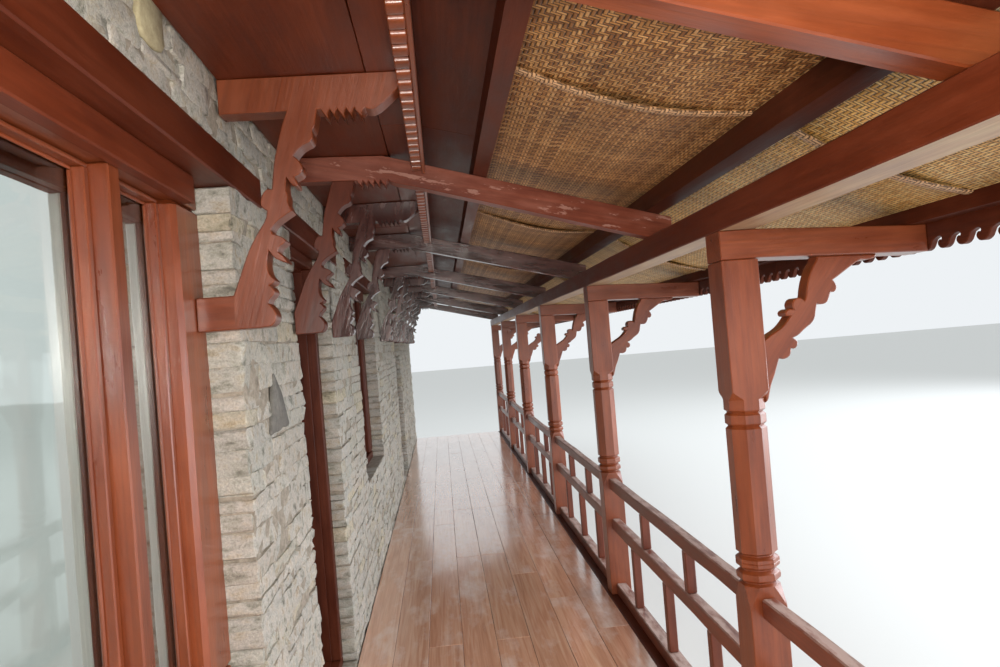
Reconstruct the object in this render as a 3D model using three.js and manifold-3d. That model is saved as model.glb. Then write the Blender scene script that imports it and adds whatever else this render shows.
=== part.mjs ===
// Timber gallery along a stone house wall: carved posts, railing, plank floor and matted lean-to roof.
// Millimetres, +Z up. While drawing, x is measured out from the wall's outer face, y along the gallery from
// the first post's centre and z up from the floor boards. The outer group moves all of it to its base centre.
import * as THREE from 'three';
import Module from 'manifold-3d';
import { mergeVertices } from 'three/addons/utils/BufferGeometryUtils.js';

const wasm = await Module();
wasm.setup();

// Driving dimensions
const bays = 6;
const bayLength = 2250;
const endMargin = 100;
const wallThickness = 450;
const groundBelowFloor = 450;
const wallTop = 2900;
const postWidth = 130;
const postInnerFace = 1557;
const hairGap = 0.3;

const galleryStart = -endMargin;
const galleryEnd = bays * bayLength + endMargin;
const galleryLength = galleryEnd - galleryStart;
const postCentreX = postInnerFace + postWidth / 2;
const postOuterFace = postInnerFace + postWidth;

// Floor
const boardThickness = 32;
const joistDepth = 120;
const joistWidth = 70;
const joistSpacing = 562.5;
const edgeBeamInner = 1540;
const edgeBeamOuter = 1704;
const joistBottom = -boardThickness - joistDepth;
const plinthEdge = 1720;

// Openings in the wall, along y. Some stand on the bracket module and the others as the photo shows them.
const bracketPitch = 1020;
const firstTie = 998;
const moduleAt = (step) => firstTie + bracketPitch * step;
const lintelBottom = 2218;
const lintelTop = 2326;
const lintelBearing = 400;
const windowSill = 735;
const openings = [
  { name: 'window_1', kind: 'window', from: 420, to: moduleAt(1) },
  { name: 'doorway_1', kind: 'doorway', from: 2905, to: 3860 },
  { name: 'window_2', kind: 'window', from: moduleAt(4), to: 6500 },
  { name: 'doorway_2', kind: 'doorway', from: moduleAt(8), to: moduleAt(9) },
];

// Joinery depths, measured back from the wall face
const windowFront = -105;
const sashFront = -146;
const glassFront = -180;
const glassBack = -186;
const innerFrameBack = -227;
const headBoardFront = -67;
const headBoardFoot = 2140;
const doorFrameFront = -80;
const doorFrameBack = -205;

// Roof. Every slope follows one line, which is the top of the ties.
const roofSlope = 0.25;
const tieKneeX = 580;
const tieKneeZ = 2464;
const purlinDepth = 80;
const innerPurlin = [785, 842];
const outerPurlin = [1560, 1622];
const plateBottom = 1998;
const plateTop = 2103;
const matThickness = 9;
const matStart = 815;
const matSag = 34;
const matEndBottom = 2020;
const roofThickness = 42;
const roofOverhang = 80;
const eaveEdge = 2410;
const armEnd = 2300;
const eavePurlinInner = armEnd - 70;
const eavePurlinBottom = 1973;
const armBottom = 1898;
const soffitBottom = 2508;
const soffitThickness = 20;
const fasciaInner = 525;
const fasciaOuter = 581;
const tieTopAt = (x) => tieKneeZ - roofSlope * (x - tieKneeX);
const purlinTopAt = (x) => tieTopAt(x) + purlinDepth;

const bracketWidth = 75;
const group = new THREE.Group();

const paintBright = { color: 0x8e4426, roughness: 0.42, metalness: 0 };
const paintDark = { color: 0x5c2418, roughness: 0.4, metalness: 0 };
const stoneFinish = { color: 0xbcb3a2, roughness: 0.9, metalness: 0 };
const plankFinish = { color: 0x95684f, roughness: 0.35, metalness: 0 };
const matFinish = { color: 0xb08c50, roughness: 0.75, metalness: 0 };
const whitePaint = { color: 0xe4e2dc, roughness: 0.5, metalness: 0 };
const glassFinish = { color: 0xaab4ae, roughness: 0.05, metalness: 0, transparent: true, opacity: 0.4 };
const sheetFinish = { color: 0x9a9c9a, roughness: 0.55, metalness: 0.6 };

// Adds one finished piece to the gallery.
function addPiece(name, geometry, finish) {
  const mesh = new THREE.Mesh(geometry, new THREE.MeshStandardMaterial(finish));
  mesh.name = name;
  group.add(mesh);
  return mesh;
}

// A squared block between two opposite corners.
function block(x0, x1, y0, y1, z0, z1) {
  const geometry = new THREE.BoxGeometry(x1 - x0, y1 - y0, z1 - z0);
  geometry.translate((x0 + x1) / 2, (y0 + y1) / 2, (z0 + z1) / 2);
  return geometry;
}

const outline = (points) => new THREE.Shape(points.map(([a, b]) => new THREE.Vector2(a, b)));

// A flat outline drawn in y and z, given a thickness along x.
function slabAcrossX(points, x0, x1) {
  const geometry = new THREE.ExtrudeGeometry(outline(points), { depth: x1 - x0, bevelEnabled: false });
  const turn = new THREE.Matrix4().set(0, 0, 1, x0, 1, 0, 0, 0, 0, 1, 0, 0, 0, 0, 0, 1);
  return geometry.applyMatrix4(turn);
}

// A flat outline drawn in x and z, given a thickness along y.
function slabAcrossY(points, y0, y1) {
  const geometry = new THREE.ExtrudeGeometry(outline(points), { depth: y1 - y0, bevelEnabled: false });
  const turn = new THREE.Matrix4().set(1, 0, 0, 0, 0, 0, -1, y1, 0, 1, 0, 0, 0, 0, 0, 1);
  return geometry.applyMatrix4(turn);
}

function toSolid(geometry) {
  const bare = geometry.clone();
  bare.deleteAttribute('normal');
  bare.deleteAttribute('uv');
  const merged = mergeVertices(bare, 1e-4);
  return new wasm.Manifold(new wasm.Mesh({
    numProp: 3,
    vertProperties: new Float32Array(merged.attributes.position.array),
    triVerts: new Uint32Array(merged.index.array),
  }));
}

function fromSolid(solid) {
  const { vertProperties, triVerts } = solid.getMesh();
  const geometry = new THREE.BufferGeometry();
  geometry.setAttribute('position', new THREE.BufferAttribute(vertProperties, 3));
  geometry.setIndex(new THREE.BufferAttribute(triVerts, 1));
  geometry.computeVertexNormals();
  return geometry;
}

// Joins overlapping shapes into one body.
function join(geometries) {
  const [first, ...rest] = geometries.map(toSolid);
  return fromSolid(rest.reduce((body, next) => body.add(next), first));
}

// Cuts holes right through a shape.
function pierce(geometry, holes) {
  return fromSolid(holes.map(toSolid).reduce((body, hole) => body.subtract(hole), toSolid(geometry)));
}

// Masonry: the footing with the low walls under the windows, then the piers, then the band over the lintels.
function addStoneWall() {
  const top = [[galleryStart, 0]];
  for (const window of openings.filter((opening) => opening.kind === 'window')) {
    top.push([window.from, 0], [window.from, windowSill], [window.to, windowSill], [window.to, 0]);
  }
  top.push([galleryEnd, 0]);
  const footing = [[galleryStart, -groundBelowFloor], [galleryEnd, -groundBelowFloor], ...top.reverse()];
  addPiece('stone_footing_wall', slabAcrossX(footing, -wallThickness, 0), stoneFinish);

  const edges = [galleryStart, ...openings.flatMap((opening) => [opening.from, opening.to]), galleryEnd];
  for (let pier = 0; pier * 2 < edges.length; pier += 1) {
    const from = edges[pier * 2];
    const to = edges[pier * 2 + 1];
    const nearPocket = pier === 0 ? 0 : lintelBearing;
    const farPocket = pier * 2 + 2 === edges.length ? 0 : lintelBearing;
    const points = [[from, 0], [to, 0]];
    if (farPocket) points.push([to, lintelBottom], [to - farPocket, lintelBottom]);
    points.push([to - farPocket, lintelTop], [from + nearPocket, lintelTop]);
    if (nearPocket) points.push([from + nearPocket, lintelBottom], [from, lintelBottom]);
    addPiece(`stone_pier_${pier + 1}`, slabAcrossX(points, -wallThickness, 0), stoneFinish);
  }
  const head = block(-wallThickness, 0, galleryStart, galleryEnd, lintelTop, wallTop);
  addPiece('stone_wall_head', head, stoneFinish);
}

function addLintels() {
  for (const { name, from, to } of openings) {
    const bearing = [from - lintelBearing, to + lintelBearing];
    addPiece(`${name}_lintel`, block(-wallThickness, 0, ...bearing, lintelBottom, lintelTop), paintDark);
  }
}

// A frame with its lights cut out. A narrow light stands at one or both ends of a wide one.
function windowFrame({ from, to }, back, front, bars) {
  const narrowLight = 556;
  const mullionHalf = 29;
  const wideWindow = to - from > 1600;
  const middles = wideWindow ? [from + narrowLight, to - narrowLight] : [to - narrowLight];
  const starts = [from + bars.jamb, ...middles.map((y) => y + mullionHalf + bars.step)];
  const ends = [...middles.map((y) => y - mullionHalf - bars.step), to - bars.jamb];
  const holes = starts.map((start, light) => (
    block(back - 10, front + 10, start, ends[light], windowSill + bars.sill, lintelBottom - bars.head)
  ));
  return pierce(block(back, front, from, to, windowSill, lintelBottom), holes);
}

function addWindow(opening) {
  const { name, from, to } = opening;
  const jamb = 188;
  const head = 104;
  const outer = windowFrame(opening, glassFront, windowFront, { jamb, head, sill: 60, step: 0 });
  const sash = windowFrame(opening, glassFront, sashFront, { jamb: jamb + 22, head: head + 12, sill: 82, step: 22 });
  const headBoard = block(windowFront - 5, headBoardFront, from, to - 128, headBoardFoot, lintelBottom);
  addPiece(`${name}_frame`, join([outer, sash, headBoard]), paintBright);
  const inset = 10;
  const glassLow = windowSill + inset;
  const glassHigh = lintelBottom - inset;
  const glass = block(glassBack, glassFront, from + inset, to - inset, glassLow, glassHigh);
  addPiece(`${name}_glass`, glass, glassFinish);
  const inner = windowFrame(opening, innerFrameBack, glassBack, { jamb: jamb + 10, head: head + 18, sill: 70, step: 5 });
  addPiece(`${name}_inner_frame`, inner, whitePaint);
}

function addDoorFrame({ name, from, to }) {
  const jamb = 62;
  const head = 60;
  const threshold = 40;
  const depth = [doorFrameBack - 10, doorFrameFront + 10];
  const way = block(...depth, from + jamb, to - jamb, threshold, lintelBottom - head);
  const frame = block(doorFrameBack, doorFrameFront, from, to, 0, lintelBottom);
  addPiece(`${name}_frame`, pierce(frame, [way]), paintDark);
}

// The sawn wall bracket: foot, leaning strut and a saw-toothed upper arm.
const armUnderside = 2406;
const strutFront = [
  [hairGap, 1780], [101, 1780], [118, 1797], [121, 1817], [114, 1832], [101, 1850], [108, 1869], [120, 1882],
  [108, 1901], [123, 1914], [110, 1932], [106, 1974], [114, 2001], [128, 1982], [162, 1964], [140, 2000],
  [162, 2028], [126, 2052], [138, 2081], [186, 2114], [177, 2140], [178, 2210], [206, 2184], [203, 2214],
  [228, 2236], [205, 2272], [232, 2305], [259, 2318], [268, 2354], [279, armUnderside],
];
const strutBack = [
  [194, armUnderside], [171, 2351], [148, 2264], [135, 2182], [112, 2178], [99, 2140], [114, 2112], [82, 2049],
  [44, 1979], [hairGap, 1878],
];

function sawTeeth(start, count, pitch, depth, root) {
  const points = [];
  for (let tooth = 0; tooth < count; tooth += 1) {
    points.push([start + tooth * pitch, root], [start + (tooth + 1) * pitch - 1, root - depth]);
  }
  return points;
}

function shortBracket() {
  const teeth = sawTeeth(292, 4, 29, 30, armUnderside);
  return [
    ...strutFront, ...teeth, [420, 2400], [440, 2399], [460, 2408], [490, 2431], [fasciaInner - hairGap, 2456],
    [fasciaInner - hairGap, soffitBottom], [hairGap, soffitBottom], [hairGap, armUnderside], ...strutBack,
  ];
}

// Every second bracket carries a long arm that runs on down the roof slope as a tie to the outer plate.
function tieOutline(start) {
  const tieEnd = 1680;
  return [
    ...start, [538, 2370], [postInnerFace, plateTop + hairGap], [tieEnd, plateTop + hairGap],
    [tieEnd, tieTopAt(tieEnd)], [tieKneeX, tieKneeZ], [404, soffitBottom], [hairGap, soffitBottom],
  ];
}

// The second tie lies askew. Its foot stands nearer the front end than its seat on the plate.
const askewFoot = 2865;
const askewRate = 0.12;

function layAskew(geometry) {
  const shear = new THREE.Matrix4().set(1, 0, 0, 0, askewRate, 1, 0, 0, 0, 0, 1, 0, 0, 0, 0, 1);
  return geometry.applyMatrix4(shear);
}

// Returns where each tie passes the toothed fascia: the middle and half the width it takes up.
function addBrackets() {
  const side = bracketWidth / 2;
  const nearEndBracket = 160;
  const movedBracket = 3900;
  const againstModule = (step) => moduleAt(step) - side;
  const tie = tieOutline([[hairGap, 2412], [300, armUnderside]]);
  addPiece('roof_tie_1', slabAcrossY(tie, firstTie, firstTie + bracketWidth), paintBright);

  const shortAt = [nearEndBracket, againstModule(1), movedBracket, ...[7, 9, 11].map(againstModule)];
  const longAt = [askewFoot, ...[4, 6, 8, 10, 12].map(againstModule)];
  const shortShape = shortBracket();
  shortAt.forEach((y, index) => {
    addPiece(`short_bracket_${index + 1}`, slabAcrossY(shortShape, y - side, y + side), paintBright);
  });
  const longShape = [...tieOutline(strutFront), [hairGap, armUnderside], ...strutBack];
  longAt.forEach((y, index) => {
    const square = slabAcrossY(longShape, y - side, y + side);
    addPiece(`long_bracket_${index + 1}`, y === askewFoot ? layAskew(square) : square, paintBright);
  });
  const fasciaHalf = (fasciaOuter - fasciaInner) / 2;
  return [firstTie + side, ...longAt].map((y) => {
    const rate = y === askewFoot ? askewRate : 0;
    return { middle: y + rate * (fasciaInner + fasciaHalf), half: side + rate * fasciaHalf };
  });
}

function addFloor() {
  const plinth = block(0, plinthEdge, galleryStart, galleryEnd, -groundBelowFloor, joistBottom);
  addPiece('stone_plinth', plinth, stoneFinish);
  const frame = block(0, edgeBeamInner, galleryStart, galleryEnd, joistBottom, -boardThickness);
  const bearer = 80;
  const holes = [];
  for (let step = 0; (step + 1) * joistSpacing <= bays * bayLength; step += 1) {
    const from = step * joistSpacing + joistWidth / 2;
    const to = from + joistSpacing - joistWidth;
    holes.push(block(bearer, edgeBeamInner - bearer, from, to, joistBottom - 10, 10 - boardThickness));
  }
  addPiece('floor_joists', pierce(frame, holes), paintDark);
  const boards = block(0, edgeBeamInner, galleryStart, galleryEnd, -boardThickness, 0);
  addPiece('floor_boards', boards, plankFinish);
  const beam = block(edgeBeamInner, edgeBeamOuter, galleryStart, galleryEnd, joistBottom, 0);
  addPiece('floor_edge_beam', beam, paintDark);
}

// Squared post, chamfered to eight sides between its stops, with its eave arm and carved brace.
const braceHalf = 33;
const braceRoot = postOuterFace - 20;
const braceOutline = [
  [braceRoot, 1405], [1699, 1412], [1708, 1455], [1736, 1520], [1756, 1551], [1786, 1552], [1794, 1578],
  [1813, 1581], [1820, 1604], [1806, 1616], [1849, 1645], [1878, 1662], [1892, 1682], [1902, 1724],
  [1938, 1729], [1956, 1765], [1974, 1769], [1978, 1787], [1966, 1805], [2018, 1840], [2071, 1870],
  [2128, 1876], [2128, armBottom + 10], [1918, armBottom + 10], [1913, 1882], [1890, 1850], [1866, 1780],
  [1855, 1741], [1821, 1748], [1812, 1716], [1783, 1707], [1797, 1690], [1762, 1652], [1723, 1631],
  [braceRoot, 1612],
];
const postHalf = postWidth / 2;
const cornerToFlat = 1 / Math.cos(Math.PI / 8);

// A square length of post. Its corners are sawn off towards the shaft and leave a pointed stop.
function stoppedBlock(y, z0, z1, stopLength, stopAtTop) {
  const full = block(postCentreX - postHalf, postCentreX + postHalf, y - postHalf, y + postHalf, z0, z1);
  const eightSided = postHalf * Math.SQRT2;
  const fourSided = postWidth + 4;
  const radii = stopAtTop ? [eightSided, fourSided] : [fourSided, eightSided];
  const stop = new THREE.CylinderGeometry(...radii, stopLength, 4);
  stop.rotateX(Math.PI / 2);
  stop.translate(postCentreX, y, stopAtTop ? z1 - stopLength / 2 : z0 + stopLength / 2);
  const square = stopAtTop ? [z0 - 10, z1 - stopLength] : [z0 + stopLength, z1 + 10];
  const around = [postCentreX - postWidth, postCentreX + postWidth, y - postWidth, y + postWidth];
  return fromSolid(toSolid(full).intersect(toSolid(block(...around, ...square)).add(toSolid(stop))));
}

function addPost(index) {
  const y = index * bayLength;
  const shaftFoot = 700;
  const shaftHead = 1460;
  const flat = postHalf - 1;
  const groove = 52;
  const bead = 68;
  const profile = [
    [0, shaftFoot], [flat, shaftFoot], [flat, 780], [groove, 788], [bead, 798], [bead, 822], [groove, 832],
    [bead, 842], [bead, 872], [groove, 882], [flat, 890], [flat, 1318], [groove, 1326], [flat, 1334],
    [flat, 1365], [groove, 1373], [flat, 1381], [flat, shaftHead], [0, shaftHead],
  ];
  const shaft = new THREE.LatheGeometry(profile.map(([r, z]) => new THREE.Vector2(r * cornerToFlat, z)), 8);
  shaft.rotateX(Math.PI / 2);
  shaft.rotateZ(Math.PI / 8);
  shaft.translate(postCentreX, y, 0);
  const foot = stoppedBlock(y, 0, 777, 61, true);
  const head = stoppedBlock(y, 1418, armBottom + 10, 28, false);
  const arm = slabAcrossY([
    [postInnerFace, armBottom], [postOuterFace + 20, armBottom], [armEnd, armBottom - 20],
    [armEnd, eavePurlinBottom], [eavePurlinInner, eavePurlinBottom], [postOuterFace, plateBottom],
    [postInnerFace, plateBottom],
  ], y - postHalf, y + postHalf);
  const brace = slabAcrossY(braceOutline, y - braceHalf, y + braceHalf);
  return join([foot, shaft, head, arm, brace]);
}

function addPosts() {
  for (let index = 0; index <= bays; index += 1) {
    addPiece(`post_${index + 1}`, addPost(index), paintBright);
  }
}

// One bay of railing: curb, two rails, short stubs between the rails and balusters below them.
const stubPlaces = [1 / 3, 2 / 3];
const balusterPlaces = [0.21, 0.5, 0.79];

function addRailings() {
  const bar = 45;
  const upright = (y, z0, z1) => (
    block(postCentreX - bar / 2, postCentreX + bar / 2, y - bar / 2, y + bar / 2, z0, z1)
  );
  for (let bay = 0; bay < bays; bay += 1) {
    const from = bay * bayLength + postHalf + hairGap;
    const to = (bay + 1) * bayLength - postHalf - hairGap;
    const rail = (half, z0, z1) => block(postCentreX - half, postCentreX + half, from, to, z0, z1);
    const place = (share) => from + (to - from) * share;
    const parts = [
      rail(25, 676, 744), rail(25, 415, 486), rail(32, 0, 70),
      ...stubPlaces.map((share) => upright(place(share), 476, 686)),
      ...balusterPlaces.map((share) => upright(place(share), 60, 425)),
    ];
    addPiece(`railing_bay_${bay + 1}`, join(parts), paintBright);
  }
}

// A strip that follows the roof slope between two x positions.
function slopedStrip(x0, x1, lowAt, highAt) {
  const section = [[x0, lowAt(x0)], [x1, lowAt(x1)], [x1, highAt(x1)], [x0, highAt(x0)]];
  return slabAcrossY(section, galleryStart, galleryEnd);
}

function addRoof(ties) {
  const plate = block(postInnerFace, postOuterFace, galleryStart, galleryEnd, plateBottom, plateTop);
  addPiece('outer_wall_plate', plate, paintBright);
  const onTies = (x) => tieTopAt(x) + hairGap;
  addPiece('inner_purlin', slopedStrip(innerPurlin[0], innerPurlin[1], onTies, purlinTopAt), paintDark);
  addPiece('outer_purlin', slopedStrip(outerPurlin[0], outerPurlin[1], onTies, purlinTopAt), paintDark);

  const ledgerWidth = 70;
  const underRoof = (x) => purlinTopAt(x) + matThickness;
  const soffitTop = soffitBottom + soffitThickness;
  addPiece('roof_ledger', slopedStrip(hairGap, ledgerWidth, () => soffitTop, underRoof), paintDark);

  const soffit = block(hairGap, fasciaInner, galleryStart, galleryEnd, soffitBottom, soffitTop);
  addPiece('soffit_boards', soffit, paintDark);
  addDentilFascia(ties);

  const onPurlins = (x) => purlinTopAt(x) + hairGap;
  const lining = slopedStrip(fasciaOuter + hairGap, matStart - hairGap, onPurlins, underRoof);
  addPiece('lining_board', lining, paintDark);
  addMats(onPurlins);

  const roofUnderside = (x) => underRoof(x) + hairGap;
  const roofTop = (x) => underRoof(x) + roofThickness;
  const edge = [
    [hairGap, roofUnderside(0)], [eaveEdge, roofUnderside(eaveEdge)], [eaveEdge, roofTop(eaveEdge)],
    [hairGap, roofTop(0)],
  ];
  const covering = slabAcrossY(edge, galleryStart - roofOverhang, galleryEnd + roofOverhang);
  addPiece('roof_covering', covering, sheetFinish);
}

// The toothed board that closes the soffit, notched over each tie.
function addDentilFascia(ties) {
  const bottom = 2420;
  const notchTop = tieTopAt(fasciaInner) + 4;
  const top = purlinTopAt(fasciaOuter);
  const points = [[galleryEnd, top], [galleryStart, top], [galleryStart, bottom]];
  for (const { middle, half } of ties) {
    const near = middle - half - hairGap;
    const far = middle + half + hairGap;
    points.push([near, bottom], [near, notchTop], [far, notchTop], [far, bottom]);
  }
  points.push([galleryEnd, bottom]);
  addPiece('dentil_fascia', slabAcrossX(points, fasciaInner, fasciaOuter), paintBright);
}

// Woven mats, drawn as one thin sheet. It lies on both purlins and droops to the inner face of the eave purlin.
function addMats(onPurlins) {
  const thickness = matThickness - hairGap;
  const sagSteps = 6;
  const outerStart = outerPurlin[1] + 5;
  const last = [eavePurlinInner - hairGap, matEndBottom];
  const spans = [
    [[innerPurlin[1] + 5, onPurlins(innerPurlin[1] + 5)], [outerPurlin[0] - 5, onPurlins(outerPurlin[0] - 5)]],
    [[outerStart, onPurlins(outerStart)], last],
  ];
  const lower = [[matStart, onPurlins(matStart)]];
  for (const [from, to] of spans) {
    for (let step = 0; step <= sagSteps; step += 1) {
      const t = step / sagSteps;
      const chord = from[1] + (to[1] - from[1]) * t;
      lower.push([from[0] + (to[0] - from[0]) * t, chord - matSag * Math.sin(Math.PI * t)]);
    }
  }
  const upper = lower.map(([x, z]) => [x, z + thickness]).reverse();
  addPiece('woven_mats', slabAcrossY([...lower, ...upper], galleryStart, galleryEnd), matFinish);
}

// The eave: a purlin on the arms with a scallop-edged board in front of it.
function addEave() {
  const boardTop = purlinTopAt(armEnd + 25) + matThickness;
  const boardBottom = 1912;
  const scallopPitch = 90;
  const scallopDepth = 34;
  const count = Math.floor(galleryLength / scallopPitch);
  const spare = (galleryLength - count * scallopPitch) / 2;
  const points = [[galleryEnd, boardTop], [galleryStart, boardTop], [galleryStart, boardBottom]];
  for (let scallop = 0; scallop < count; scallop += 1) {
    const y = galleryStart + spare + scallop * scallopPitch;
    points.push([y, boardBottom], [y + 20, boardBottom - scallopDepth], [y + 62, boardBottom - scallopDepth]);
  }
  points.push([galleryEnd - spare, boardBottom], [galleryEnd, boardBottom]);
  addPiece('eave_fascia', slabAcrossX(points, armEnd + hairGap, armEnd + 25), paintDark);
  const purlin = slabAcrossY([
    [eavePurlinInner, eavePurlinBottom], [armEnd, eavePurlinBottom], [armEnd, purlinTopAt(armEnd) + matThickness],
    [eavePurlinInner, purlinTopAt(eavePurlinInner) + matThickness],
  ], galleryStart, galleryEnd);
  addPiece('eave_purlin', purlin, paintDark);
}

addStoneWall();
addLintels();
for (const opening of openings) {
  if (opening.kind === 'window') addWindow(opening);
  else addDoorFrame(opening);
}
const ties = addBrackets();
addFloor();
addPosts();
addRailings();
addRoof(ties);
addEave();

group.position.set(-(eaveEdge - wallThickness) / 2, -(galleryStart + galleryEnd) / 2, groundBelowFloor);
const gallery = new THREE.Group();
gallery.name = 'timber_gallery';
gallery.add(group);

export default gallery;
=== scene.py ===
# Timber gallery along a stone house wall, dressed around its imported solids.
import math
from functools import partial

import bpy
import numpy as np
from mathutils import Matrix, Vector


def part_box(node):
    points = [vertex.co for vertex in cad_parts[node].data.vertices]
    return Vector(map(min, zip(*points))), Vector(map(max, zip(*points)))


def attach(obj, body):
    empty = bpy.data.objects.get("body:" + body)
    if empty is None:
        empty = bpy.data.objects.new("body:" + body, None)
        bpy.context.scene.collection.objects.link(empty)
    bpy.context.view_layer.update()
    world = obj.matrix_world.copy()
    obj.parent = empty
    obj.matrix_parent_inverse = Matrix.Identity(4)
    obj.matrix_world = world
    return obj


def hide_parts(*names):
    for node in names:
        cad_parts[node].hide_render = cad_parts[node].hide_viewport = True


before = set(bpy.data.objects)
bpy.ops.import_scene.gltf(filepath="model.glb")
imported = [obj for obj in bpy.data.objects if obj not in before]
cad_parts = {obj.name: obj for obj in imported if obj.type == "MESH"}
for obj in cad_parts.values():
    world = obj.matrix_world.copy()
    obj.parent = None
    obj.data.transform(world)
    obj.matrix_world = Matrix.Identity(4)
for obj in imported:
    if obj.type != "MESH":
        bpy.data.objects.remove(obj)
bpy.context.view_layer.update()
random = np.random.default_rng(23)

# Places shared by the pieces, in metres: x out from the wall face, y along the gallery
# from the first post and z up from the floor boards.
setOut = {
    "bays": 6,
    "bayLength": 2.25,
    "endMargin": 0.1,
    "wallThickness": 0.45,
    "groundDrop": 0.45,
    "wallTop": 2.9,
    "postInner": 1.557,
    "postWidth": 0.13,
    "firstTie": 0.998,
    "bracketPitch": 1.02,
    "bracketWidth": 0.075,
    "lintelBottom": 2.218,
    "lintelTop": 2.326,
    "lintelBearing": 0.4,
    "windowSill": 0.735,
    "soffit": 2.508,
    "fascia": (0.525, 0.581),
    "knee": (0.58, 2.464),
    "roofSlope": 0.25,
    "purlinDepth": 0.08,
    "plate": (1.998, 2.103),
    "armEnd": 2.3,
    "eaveBearer": (2.23, 1.973),
    "matEnd": 2.02,
    "eaveEdge": 2.41,
}
galleryStart = -setOut["endMargin"]
galleryEnd = setOut["bays"] * setOut["bayLength"] + setOut["endMargin"]
postCentre = setOut["postInner"] + setOut["postWidth"] / 2
boardsLow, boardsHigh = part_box("floor_boards")
toRow = np.array([boardsLow.x, boardsLow.y + setOut["endMargin"], boardsHigh.z])


def module(step):
    return setOut["firstTie"] + setOut["bracketPitch"] * step


openings = [
    {"name": "window_1", "from": 0.42, "to": module(1), "window": True},
    {"name": "doorway_1", "from": 2.905, "to": 3.86, "window": False},
    {"name": "window_2", "from": module(4), "to": 6.5, "window": True},
    {"name": "doorway_2", "from": module(8), "to": module(9), "window": False},
]


def tieTop(x):
    return setOut["knee"][1] - setOut["roofSlope"] * (x - setOut["knee"][0])


def purlinTop(x):
    return tieTop(x) + setOut["purlinDepth"]


# Camera: at eye height at the near end of the gallery, looking along it
camera = {
    "place": (0.588, -0.219, 1.683),
    "lens": 26.25,
    "sensor": 36,
    "nearest": 0.02,
    "yaw": 4.69,
    "pitch": 0.65,
    "roll": 4.64,
}
yaw, pitch, roll = (math.radians(camera[key]) for key in ("yaw", "pitch", "roll"))
ahead = Vector((math.sin(yaw) * math.cos(pitch), math.cos(yaw) * math.cos(pitch), math.sin(pitch)))
levelRight = Vector((math.cos(yaw), -math.sin(yaw), 0))
levelDown = ahead.cross(levelRight)
imageRight = math.cos(roll) * levelRight + math.sin(roll) * levelDown
imageDown = -math.sin(roll) * levelRight + math.cos(roll) * levelDown
cameraData = bpy.data.cameras.new("eye")
cameraData.lens = camera["lens"]
cameraData.sensor_width = camera["sensor"]
cameraData.clip_start = camera["nearest"]
eye = bpy.data.objects.new("eye", cameraData)
bpy.context.scene.collection.objects.link(eye)
turn = Matrix((imageRight, -imageDown, -ahead)).transposed()
eye.matrix_world = Matrix.Translation(Vector(toRow) + Vector(camera["place"])) @ turn.to_4x4()
bpy.context.scene.camera = eye
print("camera set")


# Colours and nodes
def toLinear(hexColour):
    channels = [int(hexColour[i : i + 2], 16) / 255 for i in (0, 2, 4)]
    return [c / 12.92 if c <= 0.04045 else ((c + 0.055) / 1.055) ** 2.4 for c in channels] + [1]


def perMetre(*sizes):
    return [1000 / size for size in sizes]  # pattern scales from feature sizes in mm


# Adds one node. Settings with a capital or a number set an input, the others a property.
def addNode(tree, kind, settings=None, links=None, stops=None):
    node = tree.nodes.new("ShaderNode" + kind)
    for key, value in (settings or {}).items():
        if isinstance(key, int) or key[0].isupper():
            node.inputs[key].default_value = value
        else:
            setattr(node, key, value)
    for key, source in (links or {}).items():
        tree.links.new(source, node.inputs[key])
    if stops:
        ramp = node.color_ramp.elements
        for index, (place, colour) in enumerate(stops):
            element = ramp[index] if index < 2 else ramp.new(place)
            element.position = place
            element.color = toLinear(colour) if isinstance(colour, str) else [colour] * 3 + [1]
    return node.outputs


def newFinish(name):
    finish = bpy.data.materials.new(name)
    finish.use_nodes = True
    tree = finish.node_tree
    add = partial(addNode, tree)
    grain = add("Attribute", {"attribute_name": "grain"})["Vector"]
    tint = add("Attribute", {"attribute_name": "tint"})["Fac"]
    return finish, add, tree.links.new, tree.nodes["Principled BSDF"].inputs, grain, tint


multiply, scaleBy = {"operation": "MULTIPLY"}, {"operation": "SCALE"}


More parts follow.
